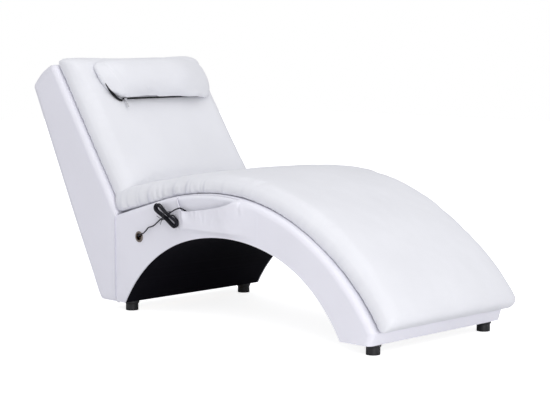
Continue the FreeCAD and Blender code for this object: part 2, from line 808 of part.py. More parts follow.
def pad_end(reach, edge, crown, ahead, foot):
    """Short end of a pad, drawn in by two steps, from the YZ plane along X or against it."""
    wires = [pad_section(reach, edge, crown, foot)]
    steps = [(pad_end_step, pad_end_drop), (pad_end_step + pad_nose_step, pad_nose_drop)]
    for reach_out, drop in steps:
        wire = pad_section(reach - drop, edge - drop, crown - drop, foot)
        wire.translate(Vector(ahead * reach_out, 0, drop / 2.0))
        wires.append(wire)
    return Part.makeLoft(wires, True, True)


def pad_place(share):
    """Frame on the deck for a pad section, with the rear end running on straight."""
    end = deck_end - seat_pad_end_gap / front_bend_radius
    angle = -rear_slope + share * (end + rear_slope)
    if angle < 0.0:
        spot = on_circle(rear_centre, rear_bend_radius, angle)
    else:
        spot = on_circle(front_centre, front_bend_radius, angle)
    return Placement(spot, Rotation(Vector(0, 1, 0), math.degrees(angle)))


def seat_pad():
    """Long pad bent over the deck, thicker towards the toe and full where the back pad pushes on it."""
    reach = half - pad_inset
    start_x = joint_x - seat_pad_edge * 1.5
    start = Placement(deck_rear(0.0, start_x), Rotation(Vector(0, 1, 0), -rear_slope_deg))
    middle_x = (start_x + deck_tangent(0.0).x) / 2.0
    middle = Placement(deck_rear(0.0, middle_x), Rotation(Vector(0, 1, 0), -rear_slope_deg))
    steps = len(seat_pad_edge_shares) - 2
    places = [start, middle] + [pad_place(step / (steps - 1.0)) for step in range(steps)]
    wires = []
    for place, edge_share, rise_share in zip(places, seat_pad_edge_shares, seat_pad_rise_shares):
        edge = seat_pad_edge * edge_share
        wire = pad_section(reach, edge, edge + seat_pad_rise * rise_share, -seat_pad_sink)
        wire.Placement = place
        wires.append(wire)
    body = Part.makeLoft(wires, True, False)
    last = seat_pad_edge * seat_pad_edge_shares[-1]
    nose = pad_end(reach, last, last + seat_pad_rise, 1, -seat_pad_sink)
    nose.Placement = places[-1]
    whole = body.fuse(nose)
    under = edge_prism(seat_edges(-fit_gap, -width, -fit_gap, 0.0, 0.0), -width, width)
    behind = block(-width, width * 2, -width, width, -width, fit_gap)
    behind.Placement = back_place
    body = whole.cut(under).cut(behind)
    for place in seat_pod_places():
        body = body.cut(pod_room_solid(place))
    keep("seat_cushion", largest(body))
    return whole


def seat_pod_places():
    """Frames of the pods under the seat pad."""
    return [deck_place(joint_x + share * (toe_foot_x - joint_x)) for share in seat_pod_shares]


def back_pod_places():
    """Frames of the pods under the back pad."""
    crown = seat_pad_edge * seat_pad_edge_shares[0] + seat_pad_rise * seat_pad_rise_shares[0]
    face = (back_top_z - back_corner_z) / math.cos(back_lean) - crown
    return [back_place.multiply(Placement(Vector(face * share, 0, 0), Rotation()))
            for share in back_pod_shares]


def largest(shape):
    """The largest solid of a result."""
    return sorted(shape.Solids, key=lambda s: s.Volume)[-1]


def back_pad(seat_whole):
    """Pad on the face of the backrest, standing on the rear end of the seat pad."""
    reach = half - pad_inset
    start = Vector(back_pad_top + pad_end_step + pad_nose_step, 0, 0)
    section = pad_section(reach, back_pad_edge, back_pad_crown, fit_gap)
    section.translate(start)
    length = (back_top_z - back_corner_z) / math.cos(back_lean)
    run = Part.Face(section).extrude(Vector(length, 0, 0))
    top_end = pad_end(reach, back_pad_edge, back_pad_crown, -1, fit_gap)
    top_end.translate(start)
    body = run.fuse(top_end)
    body.Placement = back_place
    knee = deck_tangent(0.0)
    low_start = deck_rear(0.0, joint_x - width)
    edge = seat_pad_edge * seat_pad_edge_shares[0]
    normal = Vector(-math.sin(rear_slope), 0, math.cos(rear_slope))
    rise = normal * (edge + fit_gap)
    low_z = floor_gap - crest_z
    under = prism([(low_start.x, low_z), (knee.x, low_z), (knee.x + rise.x, knee.z + rise.z),
                   (low_start.x + rise.x, low_start.z + rise.z)], -width, width)
    body = body.cut(under).cut(seat_whole.translated(normal * fit_gap))
    for place in back_pod_places():
        body = body.cut(pod_room_solid(place))
    keep("back_cushion", largest(body))


# Massage pods

def pod_room_solid(place):
    """Pocket in a pad's underside for one pod."""
    room = rod(pod_radius + pod_room, pod_height + pod_room + fit_gap + overrun,
               Vector(0, 0, -overrun), Vector(0, 0, 1))
    room.Placement = place
    return room


def pods():
    """Shell, motor and eccentric weight of each vibration pod."""
    places = list(zip(seat_pod_names, seat_pod_places())) + list(zip(back_pod_names, back_pod_places()))
    motors = []
    centre_z = pod_height / 2.0
    for name, place in places:
        base = fit_gap
        shell = rod(pod_radius, pod_height, Vector(0, 0, base), Vector(0, 0, 1))
        shell = rounded(shell, pod_wall, lambda e: e.CenterOfMass.z > base + pod_height - fit_gap
                        and len(e.Vertexes) == 1)
        room = rod(pod_radius - pod_wall, pod_height - pod_wall, Vector(0, 0, base), Vector(0, 0, 1))
        shell = shell.cut(room)
        motor_low = -motor_length / 2.0 - weight_width / 2.0
        top = base + pod_height - pod_wall
        for step in (0.2, 0.8):
            y = motor_low + motor_length * step - motor_saddle / 2.0
            saddle_reach = motor_radius * saddle_share
            saddle = block(-saddle_reach, saddle_reach, y, y + motor_saddle, base + centre_z, top)
            shell = shell.fuse(saddle)
        motor = rod(motor_radius, motor_length, Vector(0, motor_low, base + centre_z), Vector(0, 1, 0))
        shell = shell.cut(motor).removeSplitter()
        shaft_start = Vector(0, motor_low + motor_length - shaft_radius, base + centre_z)
        motor = motor.fuse(rod(shaft_radius, shaft_length + shaft_radius, shaft_start, Vector(0, 1, 0)))
        shell.Placement = place
        motor.Placement = place
        motors.append(motor)
        keep("massage_pod_" + name, one(shell))
        keep("pod_weight_" + name, pod_weight(place, motor_low + motor_length, base + centre_z))
    keep("pod_motors", group(motors))


def pod_weight(place, y_low, z):
    """Half-disc weight on the motor shaft, hanging straight down at rest."""
    y = y_low + weight_gap
    disc = rod(weight_radius, weight_width, Vector(0, 0, 0), Vector(0, 1, 0))
    half_room = block(-weight_radius * 2, weight_radius * 2, -weight_width, weight_width * 2,
                      shaft_radius * 2.5, weight_radius * 2)
    weight = disc.cut(half_room)
    weight = weight.cut(rod(shaft_radius + shaft_play, weight_width * 3, Vector(0, -weight_width, 0),
                            Vector(0, 1, 0)))
    centre = place.multVec(Vector(0, y, z))
    weight.translate(centre)
    return one(weight)


# Neck pillow

def pad_height(y):
    """Height of the back pad's crown over the backrest face at y, on a circular crown."""
    reach = half - pad_inset - pad_top_inset
    rise = back_pad_crown - back_pad_edge
    radius = (reach ** 2 + rise ** 2) / (2.0 * rise)
    return back_pad_crown - radius + math.sqrt(radius ** 2 - y ** 2)


def pillow_base():
    """Height of the pillow's flat back over the backrest face."""
    return back_pad_crown + tape_wall * 2 + fit_gap * 2


def pillow_section(y, top, foot, base, depth):
    """Closed section of the pillow at y: flat back, full front."""
    seam = base + min(pillow_seam_rise, depth / 2.0)
    lean = min(pillow_seam_rise, foot - top) / 4.0
    spots = [Vector(top + lean, y, base), Vector(foot - lean, y, base),
             Vector(foot, y, seam), Vector(top, y, seam)]
    front = Vector((top + foot) / 2.0, y, base + depth)
    edges = [line(spots[0], spots[1]), line(spots[1], spots[2]),
             Part.Arc(spots[2], front, spots[3]).toShape(), line(spots[3], spots[0])]
    return Part.Wire(edges)


def pillow():
    """Pillow, tapes, zip, slider and pull, in the frame of the backrest face."""
    base = pillow_base()
    station_shares = [-1.0, -0.95, -0.85, -0.7, -0.45, 0.0, 0.4, 0.7, 0.87, 0.96, 1.0]
    top_shares = [0.13, 0.05, 0.02, 0.007, 0.0, 0.0, 0.0, 0.0, 0.015, 0.05, 0.12]
    foot_shares = [0.32, 0.6, 0.793, 0.915, 0.945, 0.965, 0.992, 0.985, 0.905, 0.7, 0.42]
    depth_shares = [0.35, 0.6, 0.82, 0.94, 0.99, 1.0, 1.0, 0.98, 0.85, 0.6, 0.38]
    wires = []
    for along, high, low, deep in zip(station_shares, top_shares, foot_shares, depth_shares):
        top = pillow_top_drop + pillow_height * high
        foot = pillow_top_drop + pillow_height * low
        wires.append(pillow_section(pillow_y + pillow_half * along, top, foot, base, pillow_depth * deep))
    body = Part.makeLoft(wires, True, False)
    zip_foot = pillow_top_drop + pillow_height - zip_set_back
    zip_mid = base + pillow_seam_rise * 0.6
    room = block(zip_foot - slider_wall * 3 - fit_gap, zip_foot + overrun, zip_start_y - slider_length,
                 zip_end_y + slider_length * 2, base - overrun, base + pillow_seam_rise)
    body = body.cut(room)
    body.Placement = back_place
    keep("neck_pillow", one(body))
    tapes = {"pillow_hook_tape": [], "cushion_loop_tape": []}
    for side in (-1, 1):
        y = pillow_y + side * tape_spread
        drop = pillow_top_drop + pillow_height / 2.0
        loop_low = pad_height(y + side * tape_side / 2.0)
        loop_high = back_pad_crown + tape_wall
        loop_tape = block(drop - tape_side / 2.0, drop + tape_side / 2.0, y - tape_side / 2.0,
                          y + tape_side / 2.0, loop_low, loop_high)
        tapes["cushion_loop_tape"].append((loop_tape, True))
        hook_low = loop_high + fit_gap
        hook = block(drop - tape_side / 2.0, drop + tape_side / 2.0, y - tape_side / 2.0,
                     y + tape_side / 2.0, hook_low, base)
        tapes["pillow_hook_tape"].append((hook, False))
    for name, pieces in tapes.items():
        placed = []
        for piece, on_pad in pieces:
            piece.Placement = back_place
            if on_pad:
                piece = one(piece.cut(parts["back_cushion"]))
            placed.append(piece)
        keep(name, group(placed))
    seat = zip_foot - slider_wall * 3 - fit_gap
    tape_low = zip_mid - zip_width / 2.0
    tape = block(seat, seat + zip_wall, zip_start_y - slider_length * 0.4, zip_end_y + slider_length,
                 tape_low, tape_low + zip_width)
    teeth_low = zip_mid - zip_width / 6.0
    teeth = block(seat + zip_wall, seat + zip_wall * 2, zip_start_y - slider_length * 0.2, zip_end_y,
                  teeth_low, teeth_low + zip_width / 3.0)
    chain = tape.fuse(teeth).removeSplitter()
    chain.Placement = back_place
    keep("pillow_zip", one(chain))
    slider = block(seat + zip_wall + fit_gap, seat + zip_wall * 2 + fit_gap + slider_wall,
                   zip_start_y, zip_start_y + slider_length,
                   tape_low + fit_gap, tape_low + zip_width - fit_gap)
    groove = block(seat, seat + zip_wall * 2 + fit_gap, zip_start_y - overrun, zip_end_y + overrun,
                   teeth_low - fit_gap, teeth_low + zip_width / 3.0 + fit_gap)
    slider = slider.cut(groove)
    slider_mid = zip_start_y + slider_length / 2.0
    face = seat + zip_wall * 2 + fit_gap + slider_wall
    pin_at = face + tab_wall * 1.5
    lug_wall = tab_wall
    for side in (-1, 1):
        low = zip_mid + (tab_wall / 2.0 + fit_gap if side > 0 else -tab_wall / 2.0 - fit_gap - lug_wall)
        lug = block(face - slider_wall / 2.0, pin_at + tab_wall, slider_mid - tab_wall * 1.5,
                    slider_mid + tab_wall * 1.5, low, low + lug_wall)
        slider = slider.fuse(lug)
    pin_low = zip_mid - tab_wall / 2.0 - fit_gap - lug_wall / 2.0
    pin = rod(tab_wall / 2.0, tab_wall + fit_gap * 2 + lug_wall, Vector(pin_at, slider_mid, pin_low),
              Vector(0, 0, 1))
    slider = slider.fuse(pin).removeSplitter()
    slider.Placement = back_place
    keep("zip_slider", one(slider))
    tab_low = zip_mid - tab_wall / 2.0
    eye = rod(tab_wall * 1.25, tab_wall, Vector(pin_at, slider_mid, tab_low), Vector(0, 0, 1))
    tongue = block(pin_at, pin_at + tab_length, slider_mid - tab_wall, slider_mid + tab_wall,
                   tab_low, tab_low + tab_wall)
    paddle = block(pin_at + tab_length * 0.4, pin_at + tab_length, slider_mid - tab_width / 2.0,
                   slider_mid + tab_width / 2.0, tab_low, tab_low + tab_wall)
    tab = eye.fuse(tongue).fuse(paddle)
    bore = rod(tab_wall / 2.0 + shaft_play, tab_wall * 3, Vector(pin_at, slider_mid, tab_low - tab_wall),
               Vector(0, 0, 1))
    tab = tab.cut(bore).removeSplitter()
    tab.Placement = back_place
    keep("zip_pull", one(tab))
    pin_world = back_place.multVec(Vector(pin_at, slider_mid, zip_mid))
    print("zip pull pivot", pin_world, "axis", back_out)


# Handset in the pocket

def handset():
    """Two-shell handset with four sprung buttons and a tapered cord guard."""
    back_y = -half + pocket_recess - handset_rest_gap
    front_y = back_y - handset_depth
    low = pocket_floor_z + pocket_lining + pocket_wall * 3
    left = handset_left_x
    right = left + handset_length
    body = block(left, right, front_y, back_y, low, low + handset_height)
    body = rounded(body, handset_round,
                   lambda e: abs(e.Vertexes[0].Point.y - e.Vertexes[-1].Point.y) > fit_gap)
    hollow = block(left + handset_wall, right - handset_wall, front_y + handset_wall, back_y - handset_wall,
                   low + handset_wall, low + handset_height - handset_wall)
    hollow = rounded(hollow, handset_round - handset_wall,
                     lambda e: abs(e.Vertexes[0].Point.y - e.Vertexes[-1].Point.y) > fit_gap)
    shell = body.cut(hollow)
    split_y = front_y + handset_depth * 0.45
    front_half = block(left - overrun, right + overrun, front_y - overrun, split_y, low - overrun,
                       low + handset_height + overrun)
    front_shell = shell.common(front_half)
    rear_shell = shell.cut(front_half)
    mid_z = low + handset_height / 2.0
    names = ["power", "mode", "stronger", "weaker"]
    for index, name in enumerate(names):
        x = left + button_first + button_pitch * index
        axis = Vector(0, 1, 0)
        hole = rod(button_radius + button_play, handset_wall * 3,
                   Vector(x, front_y - handset_wall, mid_z), axis)
        front_shell = front_shell.cut(hole)
        cap_length = button_proud + handset_wall + button_play
        cap = rod(button_radius, cap_length, Vector(x, front_y - button_proud, mid_z), axis)
        flange_y = front_y + handset_wall + button_play
        flange = rod(button_radius + button_flange, button_flange_wall, Vector(x, flange_y, mid_z), axis)
        keep("button_" + name, one(cap.fuse(flange).removeSplitter()))
    root = guard_root
    tip = guard_tip
    run = tip - root
    guard = Part.makeCone(guard_root_radius, guard_tip_radius, run.Length, root, run)
    hole = Part.makeCone(guard_root_radius, guard_tip_radius, run.Length, root, run)
    front_shell = front_shell.cut(hole)
    rear_shell = rear_shell.cut(hole)
    guard = guard.cut(rod(cord_radius, cord_radius * 4, tip - guard_run * (cord_radius * 2), guard_run))
    keep("handset_front", one(front_shell))
    keep("handset_rear", one(rear_shell))
    keep("handset_cord_guard", one(guard))


# Grommet and control box

def grommet():
    """Pressed metal ring in the near cover."""
    axis = Vector(0, 1, 0)
    centre = Vector(grommet_x, -half, grommet_z)
    flange = rod(grommet_ring_radius, grommet_proud, centre - axis * grommet_proud, axis)
    flange = rounded(flange, grommet_proud * 0.6,
                     lambda e: e.CenterOfMass.y < -half - grommet_proud + fit_gap and len(e.Vertexes) == 1)
    sleeve = rod(grommet_bore_radius + pocket_wall, cover_wall * 2, centre, axis)
    bore = rod(grommet_bore_radius, overrun * 2, centre - axis * overrun, axis)
    ring = flange.fuse(sleeve).cut(bore).removeSplitter()
    keep("cord_grommet", one(ring))


def control_box():
    """Box that drives the motors, screwed behind the grommet, with the cord's gland."""
    clear = cover_wall + fit_gap
    face_y = -half + clear + side_ply + fit_gap
    box = block(grommet_x - control_length / 2.0, grommet_x + control_length / 2.0, face_y,
                face_y + control_depth, grommet_z + control_rise - control_height, grommet_z + control_rise)
    box = rounded(box, cover_wall, lambda e: abs(e.Vertexes[0].Point.y - e.Vertexes[-1].Point.y) > fit_gap)
    gland = rod(gland_radius, gland_length, Vector(grommet_x, face_y - gland_length, grommet_z),
                Vector(0, 1, 0))
    keep("control_box", one(box.fuse(gland).removeSplitter()))
    return face_y - gland_length


# Cord: free lead, hank and tail

hank_tilt = math.radians(hank_tilt_deg)
hank_along = Vector(math.cos(hank_tilt), 0, math.sin(hank_tilt))
hank_across = Vector(-math.sin(hank_tilt), 0, math.cos(hank_tilt))
hank_out = Vector(0, -1, 0)
hank_origin = Vector(hank_x, -half - hank_stand - hank_pitch, hank_z)


def in_hank(u, v, w):
    """Point of the hank's own frame: along, across and out from the side."""
    return hank_origin + hank_along * u + hank_across * v + hank_out * w


def hank_direction(u, v, w=0.0):
    """Unit direction in the hank's frame."""
    run = hank_along * u + hank_across * v + hank_out * w
    return run.normalize()


def hank_stations():
    """Points and headings of the hank, from the lead's end to the tail's start.
    The lead passes under the waist and joins the upper run. Layers spiral in and out by turns,
    and climb in the half turn where the spiral reverses."""
    out_v = hank_outer
    in_v = hank_inner
    ahead = hank_direction(1, 0)
    back = hank_direction(-1, 0)
    down = hank_direction(0, -1)
    up = hank_direction(0, 1)
    lead_in = hank_direction(1, 1)
    below = -hank_outer - hank_exit
    rise = hank_exit * 0.45
    past = hank_inner - cord_radius * 1.1
    stations = []
    for v in (below, below + rise, past):
        stations.append((in_hank(v + hank_skew, v, -hank_pitch), lead_in))
    stations.append((in_hank(hank_lobe * 0.46, hank_outer - cord_radius * 0.85, -hank_pitch),
                     hank_direction(1, 0.05)))
    stations.append((in_hank(hank_lobe, out_v, 0), ahead))

    def right_turn(v_from, v_to, w_from, w_to):
        middle = (w_from + w_to) / 2.0
        reach = (v_from + v_to) / 2.0
        stations.append((in_hank(hank_lobe + reach, 0, middle), down))
        stations.append((in_hank(hank_lobe, -v_to, w_to), back))

    def left_turn(v_from, v_to, w_from, w_to):
        middle = (w_from + w_to) / 2.0
        reach = (v_from + v_to) / 2.0
        stations.append((in_hank(-hank_lobe - reach, 0, middle), up))
        stations.append((in_hank(-hank_lobe, v_to, w_to), ahead))

    def low_run(v_waist, v_end, w):
        stations.append((in_hank(0, -v_waist + hank_draw, w), back))
        stations.append((in_hank(-hank_lobe, -v_end, w), back))

    def high_run(v_waist, v_end, w):
        stations.append((in_hank(0, v_waist - hank_draw, w), ahead))
        stations.append((in_hank(hank_lobe, v_end, w), ahead))

    right_turn(out_v, out_v, 0.0, 0.0)
    for layer in range(hank_layers):
        level = layer * hank_pitch
        if layer % 2 == 0:
            low_run(out_v, out_v, level)
            left_turn(out_v, out_v, level, level)
            high_run(in_v, in_v, level)
            right_turn(in_v, in_v, level, level)
            low_run(in_v, in_v, level)
            left_turn(in_v, in_v, level, level + hank_pitch)
        else:
            high_run(in_v, in_v, level)
            right_turn(in_v, in_v, level, level)
            low_run(in_v, out_v, level)
            left_turn(out_v, out_v, level, level)
            if layer + 1 < hank_layers:
                high_run(out_v, out_v, level)
                right_turn(out_v, out_v, level, level + hank_pitch)
    leave = hank_direction(1, 1)
    waist = out_v - hank_draw
    bend_run = hank_bend * math.sqrt(0.5)
    stations.append((in_hank(hank_leave, waist, level), ahead))
    stations.append((in_hank(hank_leave + bend_run, waist + hank_bend - bend_run, level), leave))
    run_out = bend_run + rise
    stations.append((in_hank(hank_leave + run_out, waist + hank_bend - bend_run + rise, level), leave))
    return stations


def arc_edge(start, heading, end):
    """Arc from start along heading to end, or a straight edge where it barely bends."""
    chord = end - start
    bend = heading.cross(chord).Length / chord.Length
    if bend < 1e-4:
        return line(start, end), []
    normal = heading.cross(chord).normalize()
    side = normal.cross(heading).normalize()
    radius = chord.dot(chord) / (2.0 * chord.dot(side))
    centre = start + side * radius
    middle = (start + end) * 0.5 - centre
    spot = centre + middle.normalize() * radius
    edge = Part.Arc(start, spot, end).toShape()
    steps = 10
    points = [edge.valueAt(edge.FirstParameter + (edge.LastParameter - edge.FirstParameter) * i / steps)
              for i in range(1, steps)]
    return edge, points


def biarc(p0, t0, p1, t1):
    """Two arcs that leave p0 along t0 and reach p1 along t1."""
    chord = p1 - p0
    both = t0 + t1
    spread = 2.0 * (1.0 - t0.dot(t1))
    if spread < 1e-6:
        along = chord.dot(t1)
        if (chord - t1 * along).Length < 1e-6:
            return [line(p0, p1)]
        reach = chord.dot(chord) / (4.0 * along)
    else:
        lead = chord.dot(both)
        reach = (-lead + math.sqrt(lead ** 2 + spread * chord.dot(chord))) / spread
    join = (p0 + p1 + (t0 - t1) * reach) * 0.5
    first = arc_edge(p0, t0, join)[0]
    second = arc_edge(p1, t1 * -1.0, join)[0]
    return [first, second]


def tube_on(edges, radius, start, heading):
    """Round tube along a path of joined edges."""
    path = Part.Wire(edges)
    ring = Part.Wire(Part.makeCircle(radius, start, heading))
    return path.makePipeShell([ring], True, False), path


def least_gap(points, radius, skip):
    """Least clear distance between far stretches of one line of points."""
    least = None
    for i in range(0, len(points), 2):
        for j in range(i + skip, len(points), 2):
            gap = points[i].distanceToPoint(points[j]) - radius * 2
            if least is None or gap < least:
                least = gap
    return least


def hank():
    """One unbroken tube in layers of drawn-in loops."""
    stations = hank_stations()
    edges = []
    for (p0, t0), (p1, t1) in zip(stations, stations[1:]):
        edges += biarc(p0, t0, p1, t1)
    tube, path = tube_on(edges, cord_radius, stations[0][0], stations[0][1])
    keep("cord_hank", one(tube))
    spacing = cord_radius / 2.0
    points = path.discretize(Distance=spacing)
    skip = int(hank_inner * 3.0 / spacing)
    radii = [e.Curve.Radius for e in edges if hasattr(e.Curve, "Radius")]
    share = math.pi * cord_radius ** 2 * path.Length
    print("hank length", round(path.Length, 1),
          "least gap to itself", round(least_gap(points, cord_radius, skip), 3),
          "least radius", round(min(radii), 2),
          "volume over section x length", round(tube.Volume / share, 4),
          "valid", tube.isValid(), "solids", len(tube.Solids))
    return stations[0], stations[-1]


def route_tube(points, name):
    """Tube of straight runs joined by tangent arcs as large as their runs allow."""
    spots = [Vector(p[0], p[1], p[2]) for p in points]
    edges = []
    radii = []
    last = spots[0]
    for before, corner, after in zip(spots, spots[1:], spots[2:]):
        run_in = corner - before
        run_out = after - corner
        short = min(run_in.Length, run_out.Length)
        turn = run_in.getAngle(run_out)
        cut = 0.45 * short
        radius = cut / math.tan(turn / 2.0)
        radii.append((round(radius, 1), round(math.degrees(turn))))
        ahead = Vector(run_in).normalize()
        onward = Vector(run_out).normalize()
        start = corner - ahead * cut
        end = corner + onward * cut
        inward = (onward - ahead).normalize()
        depth = radius / math.cos(turn / 2.0) - radius
        edges.append(line(last, start))
        edges.append(Part.Arc(start, corner + inward * depth, end).toShape())
        last = end
    edges.append(line(last, spots[-1]))
    tube, path = tube_on(edges, cord_radius, spots[0], spots[1] - spots[0])
    share = math.pi * cord_radius ** 2 * path.Length
    print(name, "length", round(path.Length, 1), "radii and turns", radii,
          "volume over section x length", round(tube.Volume / share, 4))
    keep(name, one(tube))


def twist_tie(level_high):
    """Flat tie round the waist, with its two wire ends."""
    reach = hank_outer - hank_draw + cord_radius + tie_play
    low = -hank_pitch - cord_radius - tie_play
    high = level_high + cord_radius + tie_play
    u = tie_width / 2.0

    def ring_solid(grow):
        corners = [in_hank(-u, -reach - grow, low - grow), in_hank(-u, reach + grow, low - grow),
                   in_hank(-u, reach + grow, high + grow), in_hank(-u, -reach - grow, high + grow)]
        face = Part.Face(Part.makePolygon(corners + corners[:1]))
        return face.extrude(hank_along * tie_width)

    ring = ring_solid(tie_wall).cut(ring_solid(0.0))
    knot = in_hank(0, -reach - tie_wall / 2.0, high)
    first_run = hank_direction(-1.0, -0.12)
    second_run = hank_direction(0.1, -1.0)
    first = rod(tie_wire, tie_width * 9, knot, first_run)
    second = rod(tie_wire, tie_width * 6, knot, second_run)
    ring = ring.fuse(first).fuse(second).removeSplitter()
    keep("twist_tie", one(ring))


backrest()
seat_box()
pocket()
feet()
joint_bolts()
seat_whole = seat_pad()
back_pad(seat_whole)
pods()
pillow()

# The cord's ends: the gland behind the grommet, and the tip of the handset's guard
gland_y = control_box()
grommet()
lead_end, tail_start = hank()
handset_back_y = -half + pocket_recess - handset_rest_gap
handset_low = pocket_floor_z + pocket_lining + pocket_wall * 3
guard_root = Vector(handset_left_x + handset_wall, handset_back_y - handset_depth / 2.0,
                    handset_low + handset_height * 0.7)
guard_tip = guard_root + Vector(-guard_reach, -guard_out, guard_rise)
guard_run = (guard_tip - guard_root).normalize()
handset()

lead_route = [
    (-227.0, gland_y, 228.4), (-227.0, -272.0, 228.4), (-223.0, -283.0, 231.5), (-212.0, -286.5, 237.5),
    (-199.0, -285.0, 240.5), (-187.5, -284.0, 249.5), (-178.0, -283.0, 260.5), (-163.5, -283.0, 263.5),
    (-150.0, -283.0, 269.5), (-138.5, -282.0, 279.5), (-125.84, -279.2, 289.53),
    (lead_end[0].x, lead_end[0].y, lead_end[0].z),
]
tail_route = [
    (tail_start[0].x, tail_start[0].y, tail_start[0].z), (-69.5, -296.4, 312.1), (-59.5, -295.0, 317.5),
    (-49.5, -290.0, 324.0), (-38.42, -281.21, 327.45), (guard_tip.x, guard_tip.y, guard_tip.z),
]
print("hank ends", lead_end, tail_start, "guard run", guard_run, "gland y", gland_y)
route_tube(lead_route, "cord_lead")
route_tube(tail_route, "cord_tail")
twist_tie(hank_pitch * (hank_layers - 1))

os.makedirs("parts", exist_ok=True)
for name, shape in sorted(parts.items()):
    if not shape.isValid() or not shape.Solids:
        print("CHECK", name, shape.ShapeType, "valid", shape.isValid(), "solids", len(shape.Solids))
    shape.exportStep("parts/" + name + ".step")
print(len(parts), "nodes")
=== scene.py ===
import math

import bmesh
import bpy
from bpy.props import FloatProperty, FloatVectorProperty, IntProperty, PointerProperty
from mathutils import Matrix, Vector, noise


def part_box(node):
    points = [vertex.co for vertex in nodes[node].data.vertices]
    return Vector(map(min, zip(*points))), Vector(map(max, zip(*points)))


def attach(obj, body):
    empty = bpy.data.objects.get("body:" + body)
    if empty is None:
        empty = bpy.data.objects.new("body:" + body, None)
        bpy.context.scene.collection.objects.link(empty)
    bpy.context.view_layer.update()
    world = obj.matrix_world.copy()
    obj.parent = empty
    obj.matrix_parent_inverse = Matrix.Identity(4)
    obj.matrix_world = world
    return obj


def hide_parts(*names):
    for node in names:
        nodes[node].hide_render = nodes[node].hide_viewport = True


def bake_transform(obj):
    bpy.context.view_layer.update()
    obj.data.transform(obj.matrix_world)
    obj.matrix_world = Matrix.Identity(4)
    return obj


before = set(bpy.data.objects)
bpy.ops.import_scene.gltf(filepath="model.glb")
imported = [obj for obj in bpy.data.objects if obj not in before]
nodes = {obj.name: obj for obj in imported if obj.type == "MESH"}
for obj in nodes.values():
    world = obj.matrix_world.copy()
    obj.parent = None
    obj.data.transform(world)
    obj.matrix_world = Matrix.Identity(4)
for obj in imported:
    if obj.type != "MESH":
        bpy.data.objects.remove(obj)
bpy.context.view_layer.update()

bl_info = {
    "name": "Massage relaxation lounger",
    "version": (1, 0, 0),
    "blender": (4, 5, 0),
    "location": "View3D > Sidebar > Lounger",
    "description": "Leatherette covers, swelled pads, pillow, pocket, cord and works of an arched lounger",
    "category": "Object",
}

PODS = ("shoulder", "lumbar", "seat", "thigh", "calf")
BUTTONS = ("power", "mode", "stronger", "weaker")


def length(name, description, default):
    """A length that a user may change, in metres."""
    return FloatProperty(name=name, description=description, default=default, unit="LENGTH",
                         subtype="DISTANCE", precision=4)


def slope(name, description, degrees):
    """An angle that a user may change, given in degrees."""
    return FloatProperty(name=name, description=description, default=math.radians(degrees), subtype="ANGLE")


def colour(name, description, default):
    """A linear colour that a user may change."""
    return FloatVectorProperty(name=name, description=description, default=default, subtype="COLOR",
                               min=0.0, max=1.0, size=3)


class LoungerSizes(bpy.types.PropertyGroup):
    """Sizes of the deck, the backrest, the pads, the pillow and the cord."""
    half_width: length("Half width", "From the middle to a side face", 0.275)
    crest_x: length("Crest place", "Where the deck is highest", 0.085)
    crest_z: length("Crest height", "Height of the deck's crest", 0.3715)
    rear_bend: length("Rear bend", "Radius of the deck behind the crest", 0.82)
    front_bend: length("Front bend", "Radius of the deck before the crest", 0.69)
    rear_slope: slope("Rear slope", "Slope of the deck's straight rear run", 16.1)
    joint_x: length("Joint place", "Where backrest box and seat box meet", -0.332)
    back_lean: slope("Back lean", "Lean of the backrest's face", 34.4)
    back_top_z: length("Back height", "Height of the backrest's top front edge", 0.72)
    back_corner_z: length("Back foot", "Height where the backrest's face meets the joint", 0.295)
    pad_reach: length("Pad half width", "From the middle to a pad's side", 0.262)
    seat_end: slope("Seat pad end", "Angle of the front bend where the seat pad ends", 57.2)
    back_pad_thick: length("Back pad thickness", "Thickness of the back pad at its sides", 0.052)
    back_pad_top: length("Back pad top", "Height of the back pad's level top end", 0.7345)
    pad_voxel: length("Pad grid", "Grid of the swelled pads", 0.0075)
    pillow_voxel: length("Pillow grid", "Grid of the swelled pillow", 0.004)
    pad_cap: length("Pad swell", "Most that a point of a pad may swell", 0.007)
    pillow_cap: length("Pillow swell", "Most that a point of the pillow may swell", 0.008)
    cord_diameter: length("Cord diameter", "Diameter of the handset's cord", 0.0038)
    grain: length("Leather grain", "Size of the leatherette's grain", 0.0012)
    cloth_steps: IntProperty(name="Cloth steps", description="Frames of the swelling", default=20, min=1)


class LoungerColours(bpy.types.PropertyGroup):
    """Colours of the covers, pads, liner, cord, metal, plastic and wood."""
    cover: colour("Cover", "Leatherette of the two boxes", (0.80, 0.795, 0.86))
    pad: colour("Pad", "Leatherette of the pads and the pillow", (0.77, 0.775, 0.812))
    liner: colour("Liner", "Fabric under the arch", (0.0080, 0.0074, 0.0120))
    lining: colour("Pocket lining", "Fabric inside the pocket", (0.88, 0.88, 0.95))
    cord: colour("Cord", "Cord and its guard", (0.0045, 0.0045, 0.0095))
    feet: colour("Feet", "Plastic feet", (0.012, 0.012, 0.014))
    zip_tape: colour("Zip tape", "Zip tape of the pillow", (0.012, 0.012, 0.015))
    nickel: colour("Nickel", "Zip slider and its pull", (0.86, 0.86, 0.88))
    grommet: colour("Grommet", "Darkened ring round the cord", (0.26, 0.225, 0.20))
    steel: colour("Steel", "Bolts, nuts, studs and motors", (0.56, 0.57, 0.58))
    brass: colour("Brass", "Eccentric weights", (0.60, 0.45, 0.20))
    ply: colour("Plywood", "Side panels and boards", (0.58, 0.40, 0.22))
    pine: colour("Pine", "Cross rails", (0.66, 0.47, 0.26))
    shell: colour("Shells", "Pod shells and control box", (0.035, 0.036, 0.042))
    handset: colour("Handset", "Handset shells", (0.085, 0.088, 0.098))
    button: colour("Buttons", "Handset buttons", (0.55, 0.56, 0.60))
    tape: colour("Hook tape", "Hook and loop tapes", (0.72, 0.72, 0.75))


